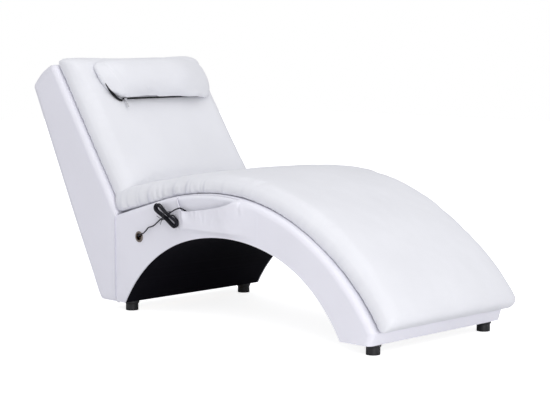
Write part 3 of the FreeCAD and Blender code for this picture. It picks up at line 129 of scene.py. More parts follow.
def sizes():
    return bpy.context.scene.lounger_sizes


def colours():
    return bpy.context.scene.lounger_colours


# Materials

WAVE_PITCH = math.pi / 10.0  # Pitch of a wave texture's bands at a scale of 1
NOISE_LOW, NOISE_HIGH = 0.3, 0.7  # Most of a noise texture's values lie between these
PAINTED_FOLD_SHADE = (0.80, 0.80, 0.84)  # Painted shade: what a fold or seam groove leaves of the leatherette's tone


def blank(name, roughness, metallic=0.0, specular=0.5):
    """A material with its shader's plain values set, its tree and its shader."""
    material = bpy.data.materials.new(name)
    material.use_nodes = True
    tree = material.node_tree
    shader = tree.nodes["Principled BSDF"]
    shader.inputs["Roughness"].default_value = roughness
    shader.inputs["Metallic"].default_value = metallic
    shader.inputs["Specular IOR Level"].default_value = specular
    return material, tree, shader


def new_node(tree, kind, values=None, links=None, **settings):
    """A new node with its settings, and its sockets' plain values and links."""
    node = tree.nodes.new("ShaderNode" + kind)
    for name, value in settings.items():
        setattr(node, name, value)
    for socket, value in (values or {}).items():
        node.inputs[socket].default_value = value
    for socket, source in (links or {}).items():
        tree.links.new(source, node.inputs[socket])
    return node


def coords(tree, stretch=(1.0, 1.0, 1.0)):
    """Object coordinates, stretched."""
    source = new_node(tree, "TexCoord").outputs["Object"]
    return new_node(tree, "Mapping", {"Scale": stretch}, {"Vector": source}).outputs["Vector"]


def clouds(tree, place, size, detail=3.0, distortion=0.0):
    """Noise with features of a given size in metres."""
    values = {"Scale": 1.0 / size, "Detail": detail, "Distortion": distortion}
    return new_node(tree, "TexNoise", values, {"Vector": place}).outputs["Fac"]


def cells(tree, place, size):
    """Rounded cells of a given size in metres."""
    node = new_node(tree, "TexVoronoi", {"Scale": 1.0 / size}, {"Vector": place}, feature="SMOOTH_F1")
    return node.outputs["Distance"]


def bands(tree, place, size, direction, distortion):
    """Bands of a given pitch in metres."""
    values = {"Scale": WAVE_PITCH / size, "Distortion": distortion}
    return new_node(tree, "TexWave", values, {"Vector": place}, bands_direction=direction).outputs["Fac"]


def spread(tree, factor, low, high):
    """A noise factor laid out between two values."""
    values = {"From Min": NOISE_LOW, "From Max": NOISE_HIGH, "To Min": low, "To Max": high}
    return new_node(tree, "MapRange", values, {"Value": factor}).outputs["Result"]


def blended(tree, factor, first, second):
    """A colour between two colours."""
    values = {"A": (*first, 1.0), "B": (*second, 1.0)}
    return new_node(tree, "Mix", values, {"Factor": factor}, data_type="RGBA").outputs["Result"]


def fed(tree, shader, tone, layers, roughness=None):
    """Lead a tone and a roughness into the shader, and bump layers: height factor, metres and strength."""
    tree.links.new(tone, shader.inputs["Base Color"])
    if roughness:
        tree.links.new(roughness, shader.inputs["Roughness"])
    below = {}
    for factor, depth, strength in layers:
        node = new_node(tree, "Bump", {"Distance": depth, "Strength": strength}, {"Height": factor, **below})
        below = {"Normal": node.outputs["Normal"]}
    tree.links.new(below["Normal"], shader.inputs["Normal"])


def scaled(shade, share):
    """A colour made darker or lighter by a share."""
    return tuple(min(1.0, part * share) for part in shade)


def mottled(tree, factor, shade, low, high):
    """A colour that changes with a noise factor between two shares of itself."""
    return blended(tree, spread(tree, factor, 0.0, 1.0), scaled(shade, low), scaled(shade, high))


def leather(name, shade, crease):
    """Matt leatherette: fine grain, soft creases, a slight change of tone, and painted shade where it folds
    in.
    """
    material, tree, shader = blank(name, 0.5, specular=0.42)
    place = coords(tree)
    patches = clouds(tree, place, 0.16, 2.0)
    creases = clouds(tree, place, 0.045, 4.0, 0.8)
    tone = mottled(tree, patches, shade, 0.965, 1.0)
    # Painted shade: a point attribute darkens the tone in fold valleys and seam grooves
    painted_fold_shade = new_node(tree, "Attribute", attribute_name="painted_fold_shade")
    shaded = blended(tree, painted_fold_shade.outputs["Fac"], (1.0, 1.0, 1.0), PAINTED_FOLD_SHADE)
    both = new_node(tree, "Mix", {"Factor": 1.0}, {"A": tone, "B": shaded}, data_type="RGBA",
                    blend_type="MULTIPLY")
    layers = [(creases, crease, 0.6), (cells(tree, place, sizes().grain), 0.00016, 0.55)]
    fed(tree, shader, both.outputs["Result"], layers, spread(tree, creases, 0.45, 0.58))
    return material


def woven(name, shade, pitch, depth=0.0003, sheen=0.3, depth_of_tone=0.6, specular=0.2):
    """Plain weave of crossing threads."""
    material, tree, shader = blank(name, 0.9, specular=specular)
    shader.inputs["Sheen Weight"].default_value = sheen
    place = coords(tree)
    threads = {socket: bands(tree, place, pitch, way, 0.4) for socket, way in enumerate("XZ")}
    both = new_node(tree, "Math", links=threads, operation="MULTIPLY")
    tone = blended(tree, both.outputs["Value"], scaled(shade, depth_of_tone), shade)
    fluff = clouds(tree, place, pitch * 6.0, 3.0)
    fed(tree, shader, tone, [(both.outputs["Value"], depth, 0.7), (fluff, depth, 0.4)])
    return material


def moulded(name, shade, roughness):
    """Moulded plastic with a fine spark texture and handling marks."""
    material, tree, shader = blank(name, roughness, specular=0.45)
    place = coords(tree)
    marks = clouds(tree, place, 0.02, 5.0)
    spark = clouds(tree, place, 0.0012, 2.0)
    fed(tree, shader, mottled(tree, marks, shade, 0.86, 1.1), [(spark, 0.00008, 0.5)],
        spread(tree, marks, roughness - 0.06, roughness + 0.1))
    return material


def rubbed_metal(name, shade, roughness):
    """Plated metal with fine upright rub marks and a few dull spots."""
    material, tree, shader = blank(name, roughness, metallic=1.0)
    rubs = clouds(tree, coords(tree, (1.0, 1.0, 14.0)), 0.004, 4.0)
    spots = clouds(tree, coords(tree), 0.006, 3.0)
    fed(tree, shader, mottled(tree, spots, shade, 0.8, 1.0), [(rubs, 0.00003, 0.4)],
        spread(tree, rubs, roughness - 0.08, roughness + 0.14))
    return material


def wood(name, shade, ring, stretch):
    """Raw wood: drawn-out grain lines over a soft change of tone."""
    material, tree, shader = blank(name, 0.7, specular=0.25)
    grain = bands(tree, coords(tree, stretch), ring, "Z", 3.5)
    pores = clouds(tree, coords(tree, (0.3, 6.0, 6.0)), 0.01, 5.0)
    fed(tree, shader, blended(tree, grain, scaled(shade, 0.74), shade), [(pores, 0.0002, 0.5)],
        spread(tree, pores, 0.6, 0.82))
    return material


def rubber(name, shade):
    """Soft jacket of the cord, dusty and faintly pitted."""
    material, tree, shader = blank(name, 0.3, specular=0.22)
    place = coords(tree)
    dust = clouds(tree, place, 0.01, 4.0)
    pits = clouds(tree, place, 0.0014, 2.0)
    fed(tree, shader, mottled(tree, dust, shade, 0.8, 1.5), [(pits, 0.0001, 0.4)])
    return material


def dress(names, material):
    """Give carried-over CAD nodes a finish."""
    for name in names:
        slots = nodes[name].data.materials
        slots.clear()
        slots.append(material)


def made(name):
    """A material by name, made once from its recipe."""
    if name in bpy.data.materials:
        return bpy.data.materials[name]
    c = colours()
    recipes = {
        "cover_leather": lambda: leather(name, c.cover, 0.0008),
        "pad_leather": lambda: leather(name, c.pad, 0.0010),
        "liner_fabric": lambda: woven(name, c.liner, 0.0016, sheen=0.0, specular=0.06),
        "pocket_lining_fabric": lambda: woven(name, c.lining, 0.0012, depth_of_tone=0.9, sheen=0.1),
        "cord_rubber": lambda: rubber(name, c.cord),
        "foot_plastic": lambda: moulded(name, c.feet, 0.38),
        "zip_tape_weave": lambda: woven(name, c.zip_tape, 0.0009, sheen=0.1),
        "zip_nickel": lambda: rubbed_metal(name, c.nickel, 0.24),
        "grommet_metal": lambda: rubbed_metal(name, c.grommet, 0.2),
        "zinc_steel": lambda: rubbed_metal(name, c.steel, 0.34),
        "weight_brass": lambda: rubbed_metal(name, c.brass, 0.3),
        "raw_ply": lambda: wood(name, c.ply, 0.0014, (0.05, 1.0, 1.0)),
        "raw_pine": lambda: wood(name, c.pine, 0.007, (1.0, 0.08, 1.0)),
        "pod_plastic": lambda: moulded(name, c.shell, 0.5),
        "handset_plastic": lambda: moulded(name, c.handset, 0.4),
        "button_plastic": lambda: moulded(name, c.button, 0.35),
        "tie_plastic": lambda: moulded(name, c.cord, 0.4),
        "hook_tape_weave": lambda: woven(name, c.tape, 0.0011, 0.0006, depth_of_tone=0.8),
    }
    return recipes[name]()


# The deck and the backrest face as guides for what lies on them

def bend(x):
    """Radius of the deck's bend over a place along the lounger."""
    return sizes().front_bend if x > sizes().crest_x else sizes().rear_bend


def on_deck(along, height):
    """Point over the deck: along it from the crest towards the toe, and out of it."""
    sz = sizes()
    knee = -sz.rear_bend * sz.rear_slope
    if along >= 0.0:
        angle, radius = along / sz.front_bend, sz.front_bend
    else:
        angle, radius = max(along, knee) / sz.rear_bend, sz.rear_bend
    out = Vector((math.sin(angle), 0.0, math.cos(angle)))
    centre = Vector((sz.crest_x, 0.0, sz.crest_z - radius))
    spot = centre + out * (radius + height)
    if along < knee:
        spot += Vector((out.z, 0.0, -out.x)) * (along - knee)
    return spot


def over_deck(spot):
    """How far along the deck a point is, and how high over it."""
    sz = sizes()
    knee = -sz.rear_bend * sz.rear_slope
    radius = bend(spot.x)
    away = Vector((spot.x - sz.crest_x, 0.0, spot.z - sz.crest_z + radius))
    angle = math.atan2(away.x, away.z)
    along, height = angle * radius, away.length - radius
    if along < knee:
        out = Vector((math.sin(-sz.rear_slope), 0.0, math.cos(sz.rear_slope)))
        run = Vector((out.z, 0.0, -out.x))
        off = Vector((spot.x, 0.0, spot.z)) - on_deck(knee, 0.0)
        along, height = knee + off.dot(run), off.dot(out)
    return along, height


def back_frame():
    """Top front corner of the backrest box, the way down its face and the way out of it."""
    sz = sizes()
    sine, cosine = math.sin(sz.back_lean), math.cos(sz.back_lean)
    corner_x = sz.joint_x - (sz.back_top_z - sz.back_corner_z) * math.tan(sz.back_lean)
    return Vector((corner_x, 0.0, sz.back_top_z)), Vector((sine, 0.0, -cosine)), Vector((cosine, 0.0, sine))


def on_back(down, across, out):
    """Point over the backrest's face."""
    corner, way_down, way_out = back_frame()
    return corner + way_down * down + way_out * out + Vector((0.0, across, 0.0))


def over_back(spot):
    """How far down the backrest's face a point is, and how far out of it."""
    corner, way_down, way_out = back_frame()
    off = Vector((spot.x, 0.0, spot.z)) - corner
    return off.dot(way_down), off.dot(way_out)


# Mesh helpers

def shown(name, data):
    """A new object of the scene for a mesh, curve, lamp or camera."""
    piece = bpy.data.objects.new(name, data)
    bpy.context.scene.collection.objects.link(piece)
    return piece


def from_bmesh(name, bm, material):
    """Close a bmesh into a smooth piece with a finish."""
    bmesh.ops.recalc_face_normals(bm, faces=bm.faces)
    mesh = bpy.data.meshes.new(name)
    bm.to_mesh(mesh)
    bm.free()
    mesh.materials.append(material)
    mesh.shade_smooth()
    return shown(name, mesh)


def settle(piece):
    """Apply a piece's modifiers."""
    depsgraph = bpy.context.evaluated_depsgraph_get()
    mesh = bpy.data.meshes.new_from_object(piece.evaluated_get(depsgraph))
    piece.modifiers.clear()
    old = piece.data
    if not mesh.materials:
        mesh.materials.append(old.materials[0])
    piece.data = mesh
    mesh.name = piece.name
    bpy.data.meshes.remove(old)


def cut(bm, spot, normal):
    """Cut a bmesh into cells at a plane."""
    bmesh.ops.bisect_plane(bm, geom=bm.verts[:] + bm.edges[:] + bm.faces[:], dist=1e-6, plane_co=spot,
                           plane_no=normal)


def block_of(cuts):
    """A unit box from -1 to 1, cut into cells along each way."""
    bm = bmesh.new()
    bmesh.ops.create_cube(bm, size=2.0)
    for way, count in enumerate(cuts):
        for step in range(1, count):
            spot, normal = Vector(), Vector()
            spot[way] = -1.0 + 2.0 * step / count
            normal[way] = 1.0
            cut(bm, spot, normal)
    return bm


def gridded(piece, voxel):
    """Lay an even grid over a closed shape."""
    grid = piece.modifiers.new("grid", "REMESH")
    grid.mode = "VOXEL"
    grid.voxel_size = voxel
    grid.use_smooth_shade = True
    settle(piece)


def swell(piece, cap):
    """Blow a closed cover up in a short cloth run, and cap how far a point may move."""
    rest = [v.co.copy() for v in piece.data.vertices]
    cloth = piece.modifiers.new("cover", "CLOTH")
    settings = cloth.settings
    settings.use_pressure, settings.uniform_pressure_force = True, 4.0
    settings.effector_weights.gravity, settings.quality = 0.0, 4
    settings.tension_stiffness = settings.compression_stiffness = 20.0
    settings.bending_stiffness = 0.4
    steps = sizes().cloth_steps
    cloth.point_cache.frame_end = steps
    for step in range(1, steps + 1):
        bpy.context.scene.frame_set(step)
    depsgraph = bpy.context.evaluated_depsgraph_get()
    swelled = piece.evaluated_get(depsgraph).to_mesh()
    moved = [v.co.copy() for v in swelled.vertices]
    piece.evaluated_get(depsgraph).to_mesh_clear()
    piece.modifiers.clear()
    bpy.context.scene.frame_set(1)
    for vertex, start, end in zip(piece.data.vertices, rest, moved):
        way = end - start
        reach = way.length
        if reach > 0.0:
            vertex.co = start + way * (cap * math.tanh(reach / cap) / reach)
    piece.data.update()


def ease(low, high, value):
    """Smooth share of the way from low to high."""
    share = min(1.0, max(0.0, (value - low) / (high - low)))
    return share * share * (3.0 - 2.0 * share)


def laid_out(table, value):
    """Value read from a table of places and values."""
    if value <= table[0][0]:
        return table[0][1]
    for (x0, y0), (x1, y1) in zip(table, table[1:]):
        if value <= x1:
            return y0 + (y1 - y0) * (value - x0) / (x1 - x0)
    return table[-1][1]


def window(value, rise, fall):
    """Share that grows over a first span and fades over a second one."""
    return ease(*rise, value) * (1.0 - ease(*fall, value))


def bell(value, width):
    """Share that is 1 at 0 and fades softly on both sides."""
    return math.exp(-(value / width) ** 2)


def wander(a, b, c):
    """Soft noise between -1 and 1 at a place."""
    return noise.noise(Vector((a, b, c)))


def ripple(a, b, c, size):
    """Layered soft noise between -1 and 1 with features of a given size."""
    return noise.fractal(Vector((a, b, c)) / size, 0.9, 2.0, 3)


# Camera, lamps, floor and background

CAMERA_PLACE = (3.250295, -3.255954, 0.810211)
CAMERA_YAW, CAMERA_PITCH, CAMERA_ROLL = 0.776726, 0.107509, 0.000983
CAMERA_LENS, CAMERA_SENSOR, CAMERA_CLIP = 104.61, 36.0, (0.1, 50.0)
# Name, place, width and power of each lamp
LAMPS = [("lamp_above", (0.3, -0.6, 3.2), 3.0, 29.0), ("lamp_front", (3.3, -1.2, 1.5), 2.4, 20.5),
         ("lamp_left", (-1.0, -3.3, 1.8), 2.4, 3.5), ("lamp_low", (2.9, -1.4, 0.25), 1.4, 21.0)]
LAMP_AIM, LAMP_WHITE = Vector((0.0, 0.0, 0.3)), (1.0, 0.995, 0.985)
PAPER, PAPER_REACH, PAPER_GLOW = (0.92, 0.92, 0.93, 1.0), 9.0, 0.82
SOFT_SKY, SOFT_STRENGTH = (0.965, 0.97, 1.0, 1.0), 0.66
WHITE_SKY = (1.0, 1.0, 1.0, 1.0)


def picked(tree, factor, first, second, out):
    """Lead one of two shaders to the output, the second one where the factor is 1."""
    pick = new_node(tree, "MixShader", links={0: factor, 1: first.outputs[0], 2: second.outputs[0]})
    tree.links.new(pick.outputs[0], tree.nodes[out].inputs["Surface"])


class LOUNGER_OT_stage(bpy.types.Operator):
    """Camera at the photograph's place, soft studio lamps, pale floor and white background"""
    bl_idname = "lounger.stage"
    bl_label = "Stage"

    def execute(self, context):
        self.camera()
        self.lamps()
        self.floor()
        self.world()
        return {"FINISHED"}

    def camera(self):
        data = bpy.data.cameras.new("camera")
        data.lens = CAMERA_LENS
        data.sensor_width = CAMERA_SENSOR
        data.clip_start, data.clip_end = CAMERA_CLIP
        camera = shown("camera", data)
        turn = Matrix.Rotation(CAMERA_YAW, 4, "Z") @ Matrix.Rotation(math.pi / 2.0 - CAMERA_PITCH, 4, "X")
        turn = turn @ Matrix.Rotation(CAMERA_ROLL, 4, "Z")
        camera.matrix_world = Matrix.Translation(CAMERA_PLACE) @ turn
        bpy.context.scene.camera = camera

    def lamps(self):
        for name, place, width, power in LAMPS:
            data = bpy.data.lights.new(name, "AREA")
            data.shape = "DISK"
            data.size = width
            data.energy = power
            data.color = LAMP_WHITE
            turn = (LAMP_AIM - Vector(place)).to_track_quat("-Z", "Y").to_matrix().to_4x4()
            shown(name, data).matrix_world = Matrix.Translation(place) @ turn

    def floor(self):
        """Pale paper that glows to white for the camera and keeps the lounger's shadow."""
        bm = bmesh.new()
        bmesh.ops.create_grid(bm, x_segments=2, y_segments=2, size=PAPER_REACH)
        material, tree, shader = blank("floor_paper", 0.8, specular=0.1)
        shader.inputs["Base Color"].default_value = PAPER
        glow = new_node(tree, "Emission", {"Strength": PAPER_GLOW})
        both = new_node(tree, "AddShader", links={0: shader.outputs[0], 1: glow.outputs[0]})
        path = new_node(tree, "LightPath")
        picked(tree, path.outputs["Is Camera Ray"], shader, both, "Material Output")
        floor = from_bmesh("floor", bm, material)

    def world(self):
        """Soft sky that lights the lounger, and white where the camera looks past it."""
        world = bpy.data.worlds.new("studio")
        world.use_nodes = True
        tree = world.node_tree
        soft = tree.nodes["Background"]
        soft.inputs["Color"].default_value = SOFT_SKY
        soft.inputs["Strength"].default_value = SOFT_STRENGTH
        white = new_node(tree, "Background", {"Color": WHITE_SKY, "Strength": 1.0})
        path = new_node(tree, "LightPath")
        rays = {0: path.outputs["Is Camera Ray"], 1: path.outputs["Is Transmission Ray"]}
        seen = new_node(tree, "Math", links=rays, operation="MAXIMUM")
        picked(tree, seen.outputs[0], soft, white, "World Output")
        bpy.context.scene.world = world
        bpy.context.scene.view_settings.view_transform = "Standard"


# Cord of the handset

LEAD_ROUTE = [
    (-0.227, -0.2584, 0.2284), (-0.227, -0.272, 0.2284), (-0.223, -0.283, 0.2315), (-0.212, -0.2865, 0.2375),
    (-0.199, -0.285, 0.2405), (-0.1875, -0.284, 0.2495), (-0.178, -0.283, 0.2605), (-0.1635, -0.283, 0.2635),
    (-0.150, -0.283, 0.2695), (-0.1385, -0.282, 0.2795), (-0.12584, -0.2792, 0.28953),
]
TAIL_ROUTE = [
    (-0.0695, -0.2964, 0.3121), (-0.0595, -0.295, 0.3175), (-0.0495, -0.290, 0.324),
    (-0.03842, -0.28121, 0.32745), (-0.028, -0.279, 0.320),
]
HANK_CENTRE = Vector((-0.096, -0.2835, 0.3012))
HANK_TILT = math.radians(-28.7)
HANK_LOBE, HANK_OUTER, HANK_INNER = 0.0365, 0.0124, 0.0084
HANK_LEVELS = (-0.0006, 0.0035, 0.0076)
HANK_SLACK = (0.0010, 0.0004, 0.0, 0.0018, 0.0026, 0.0012)
HANK_DRAW, HANK_FOLLOW = 0.0030, 0.4  # What the tie draws in, and how much half way to it still stands out
# Stub under the lowest layer and way out over the highest: along, across and out
HANK_UNDER = 0.0042
HANK_STUB = [(-0.0135, -0.0175, 0.0), (-0.002, -0.006, 0.0), (0.009, 0.0048, 0.0), (0.0185, 0.0128, 0.001)]
HANK_OUT = [(-0.010, HANK_INNER - HANK_DRAW, 0.0), (0.0, HANK_INNER - HANK_DRAW + 0.0022, 0.0036),
            (0.01036, HANK_OUTER + 0.0022, 0.0049)]


def in_hank(u, v, w):
    """Point of the hank's own frame: along, across and out from the side."""
    along = Vector((math.cos(HANK_TILT), 0.0, math.sin(HANK_TILT)))
    across = Vector((-math.sin(HANK_TILT), 0.0, math.cos(HANK_TILT)))
    return HANK_CENTRE + along * u + across * v + Vector((0.0, -w, 0.0))


def hank_points():
    """Points of the hank: a stub, loops by layers that are drawn in at the tie, and the way out on top."""
    low, middle, high = HANK_LEVELS
    corner = math.tan(math.radians(22.5))
    spots = [in_hank(u, v, low - HANK_UNDER + w) for u, v, w in HANK_STUB]
    spots.append(in_hank(HANK_LOBE * 0.8, HANK_OUTER, low))

    def turn(side, reach, start, end, slack):
        for step, (u, v) in enumerate([(corner, 1.0), (1.0, corner), (1.0, -corner), (corner, -1.0)]):
            level = start + (end - start) * step / 3.0
            spots.append(in_hank(side * (HANK_LOBE + slack + reach * u), side * reach * v, level))

    def run(side, start, end, level):
        waist = min(start, end) - HANK_DRAW
        for u, v in ((-0.5, start), (0.0, waist), (0.5, end)):
            spots.append(in_hank(side * HANK_LOBE * u, side * (waist + (v - waist) * HANK_FOLLOW), level))

    loops = [(HANK_OUTER, low), (HANK_INNER, low), (HANK_INNER, middle), (HANK_OUTER, middle),
             (HANK_OUTER, high), (HANK_INNER, high)]
    for index, (reach, level) in enumerate(loops):
        follow, above = loops[min(index + 1, len(loops) - 1)]
        turn(1, reach, level, level, HANK_SLACK[index])
        run(-1, reach, reach, level)
        turn(-1, reach, level, above, HANK_SLACK[index])
        if index + 1 < len(loops):
            run(1, reach, follow, above)
    spots.append(in_hank(-HANK_LOBE * 0.5, HANK_INNER - HANK_DRAW + HANK_DRAW * HANK_FOLLOW, high))
    return spots + [in_hank(u, v, high + w) for u, v, w in HANK_OUT]


def spline_object(name, points, radius):
    """A round cord on one smooth spline with these control points."""
    data = bpy.data.curves.new(name, "CURVE")
    data.dimensions = "3D"
    spline = data.splines.new("NURBS")
    spline.points.add(len(points) - 1)
    for point, spot in zip(spline.points, points):
        point.co = (*spot, 1.0)
    spline.order_u = 3
    spline.use_endpoint_u = True
    spline.resolution_u = 8
    data.bevel_depth = radius
    data.bevel_resolution = 3
    data.use_fill_caps = True
    return shown(name, data)


def tube_of(line, name, material):
    """A mesh tube in place of a cord's spline."""
    tube = bpy.data.meshes.new_from_object(line)
    bpy.data.objects.remove(line)
    tube.name = name
    tube.materials.clear()
    tube.materials.append(material)
    tube.shade_smooth()
    return shown(name, tube)


class LOUNGER_OT_cord(bpy.types.Operator):
    """Handset cord: free lead, tied hank and the tail into the pocket"""
    bl_idname = "lounger.cord"
    bl_label = "Cord"

    def execute(self, context):
        diameter = sizes().cord_diameter
        material = made("cord_rubber")
        hank = hank_points()
        cord = spline_object("massage_cord", [Vector(p) for p in LEAD_ROUTE] + hank, diameter / 2.0)
        cord.data.materials.append(material)
        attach(cord, "lounger")
        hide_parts("cord_lead", "cord_hank")
        self.tail(hank[-1], diameter, material)
        dress(["twist_tie"], made("tie_plastic"))
        dress(["handset_cord_guard"], material)
        return {"FINISHED"}

    def tail(self, start, diameter, material):
        """The tail bends between the tied hank and the handset, so it is a mesh tube on its spline."""
        spots = [start] + [Vector(p) for p in TAIL_ROUTE]
        line = spline_object("tail_line", spots, 0.0)
        path = bpy.data.meshes.new_from_object(line)
        line.data.bevel_depth = diameter / 2.0
        tail = tube_of(line, "handset_tail", material)
        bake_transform(tail)
        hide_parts("cord_tail")


# Pads and pillow

# Seat pad along the deck: side thickness, crown, half width, width of the side rolls, far side's surplus
SEAT_EDGE = [(-0.43, 0.041), (-0.2, 0.041), (0.0, 0.042), (0.35, 0.048), (0.70, 0.056)]
SEAT_CROWN = [(-0.43, 0.036), (-0.37, 0.034), (-0.30, 0.025), (-0.2, 0.013), (-0.05, 0.006), (0.70, 0.006)]
SEAT_REACH = [(-0.43, 0.2735), (-0.36, 0.271), (-0.22, 0.265), (-0.05, 0.2625), (0.70, 0.2615)]
SEAT_ROLL = [(-0.43, 0.024), (-0.30, 0.030), (-0.1, 0.048), (0.15, 0.060), (0.70, 0.062)]
SEAT_FLARE = [(-0.20, 0.0), (0.15, 0.019), (0.55, 0.021), (0.70, 0.0245)]
SEAT_RUN, SEAT_TOE = 0.1973, 0.006  # Straight rear run under the pad, and the toe end's surplus
REAR_ROLL, TOE_ROLL, FAR_ROLL, REAR_LIFT = 0.014, 0.024, 0.7, 0.6
REST_FADE, REST_AT = 0.08, -0.40  # Where the seat pad leans on the backrest, and where the back pad rests
# Back pad: reach over the half width and width of the roll on either side, top roll, crown and foot
BACK_NEAR, BACK_FAR = (0.0035, 0.070), (0.0165, 0.040)
BACK_TOP_ROLL, BACK_CROWN, BACK_FOOT, BACK_CORNER, BACK_PROUD = 0.056, 0.006, 0.011, 0.012, 0.0025
# Both pads: cells along, across and up, cells in a roll, seam height, room underneath and corners
SEAT_CELLS, BACK_CELLS, ROLL_CELLS = (120, 44, 3), (70, 44, 3), (9, 8)
PAD_SEAM, PAD_GAP, PAD_LEAST, PAD_FACE = 0.013, 0.002, 0.0012, 0.02
ROLL_POWER, LIFT_POWER, CORNER_IN = 0.76, 0.9, 0.035
SEAT_TUCK, UNDER_TUCK = 0.004, 0.003  # How far the underside is drawn in
SIDE_ZONE, SEAM_ZONE, SEAM_IN = (0.235, 0.258), (0.004, 0.011), 0.0022
# Gathers: height, share that stands up, pitch of the folds and of their groups
GATHER, GATHER_BASE, GATHER_PITCH, GATHER_GROUP = 0.0090, 0.55, 0.017, 0.07
# Pillow: thinner towards its ends by spans across, room round the zip, crease at the end seam
PILLOW_TAPERS = [(0.08, 0.232, 0.46), (-0.12, -0.185, 0.25)]
PILLOW_SOFT, PILLOW_SINK, PILLOW_STRETCH = 0.0016, 0.003, 0.013
ZIP_TRACK, ZIP_ROOM, ZIP_HALF = Vector((0.1833, 0.0751)), 0.0075, 0.15
ZIP_FADE, ZIP_END = (0.014, 0.040), (0.145, 0.175)
END_SEAM = [(0.617, -0.1207), (0.655, -0.1347), (0.686, -0.1472), (0.718, -0.1598)]
CREASE_DEEP, CREASE_WIDE = 0.0032, 0.0065
# Points of the end zip's dark band and its radius at each: the zip tape, widened into a painted shadow under
# the pillow's corner
END_ZIP_AND_SHADOW = [((-0.4880, -0.1812, 0.6640), 0.0006), ((-0.4853, -0.1806, 0.6583), 0.0016),
           ((-0.4806, -0.1735, 0.6450), 0.0030), ((-0.4758, -0.1660, 0.6330), 0.0040),
           ((-0.4712, -0.1580, 0.6235), 0.0041), ((-0.4675, -0.1500, 0.6152), 0.0036),
           ((-0.4643, -0.1410, 0.6100), 0.0034), ((-0.4641, -0.1352, 0.6088), 0.0028)]


def seat_height(along, across_share):
    """Thickness of the seat pad, crowned across and fuller where the back pad pushes on it."""
    return laid_out(SEAT_EDGE, along) + laid_out(SEAT_CROWN, along) * (1.0 - abs(across_share) ** 2.0)


def roll_zones(cells):
    """Shares of a block's half length and half width that its edge rolls take."""
    return [2.0 * roll / count for roll, count in zip(ROLL_CELLS, cells)]


def rolled(share, half, roll, zone):
    """Place and lift of a point on a face with rolled edges, which run out softly onto the face."""
    inward = 1.0 - abs(share)
    if inward < zone:
        angle = inward / zone * math.pi / 2.0
        inset, lift = roll * (1.0 - math.cos(angle) ** ROLL_POWER), math.sin(angle) ** ROLL_POWER
    else:
        inset, lift = roll + (half - roll) * (inward - zone) / (1.0 - zone), 1.0
    return math.copysign(half - inset, share), lift


def gathers(along, across):
    """Folds along the side seams, strongest behind the crest."""
    strength = 1.0 - 0.8 * ease(-0.02, 0.14, along)
    groups = 0.45 + 0.55 * ease(-0.25, 0.35, wander(along / GATHER_GROUP, 7.0 + across, 0.0))
    warped = along + 0.006 * wander(along / 0.03, 3.0, 0.0)
    ridge = GATHER_BASE - 1.9 * abs(wander(warped / GATHER_PITCH, across * 2.0, 5.0))
    return strength * groups * GATHER * ridge


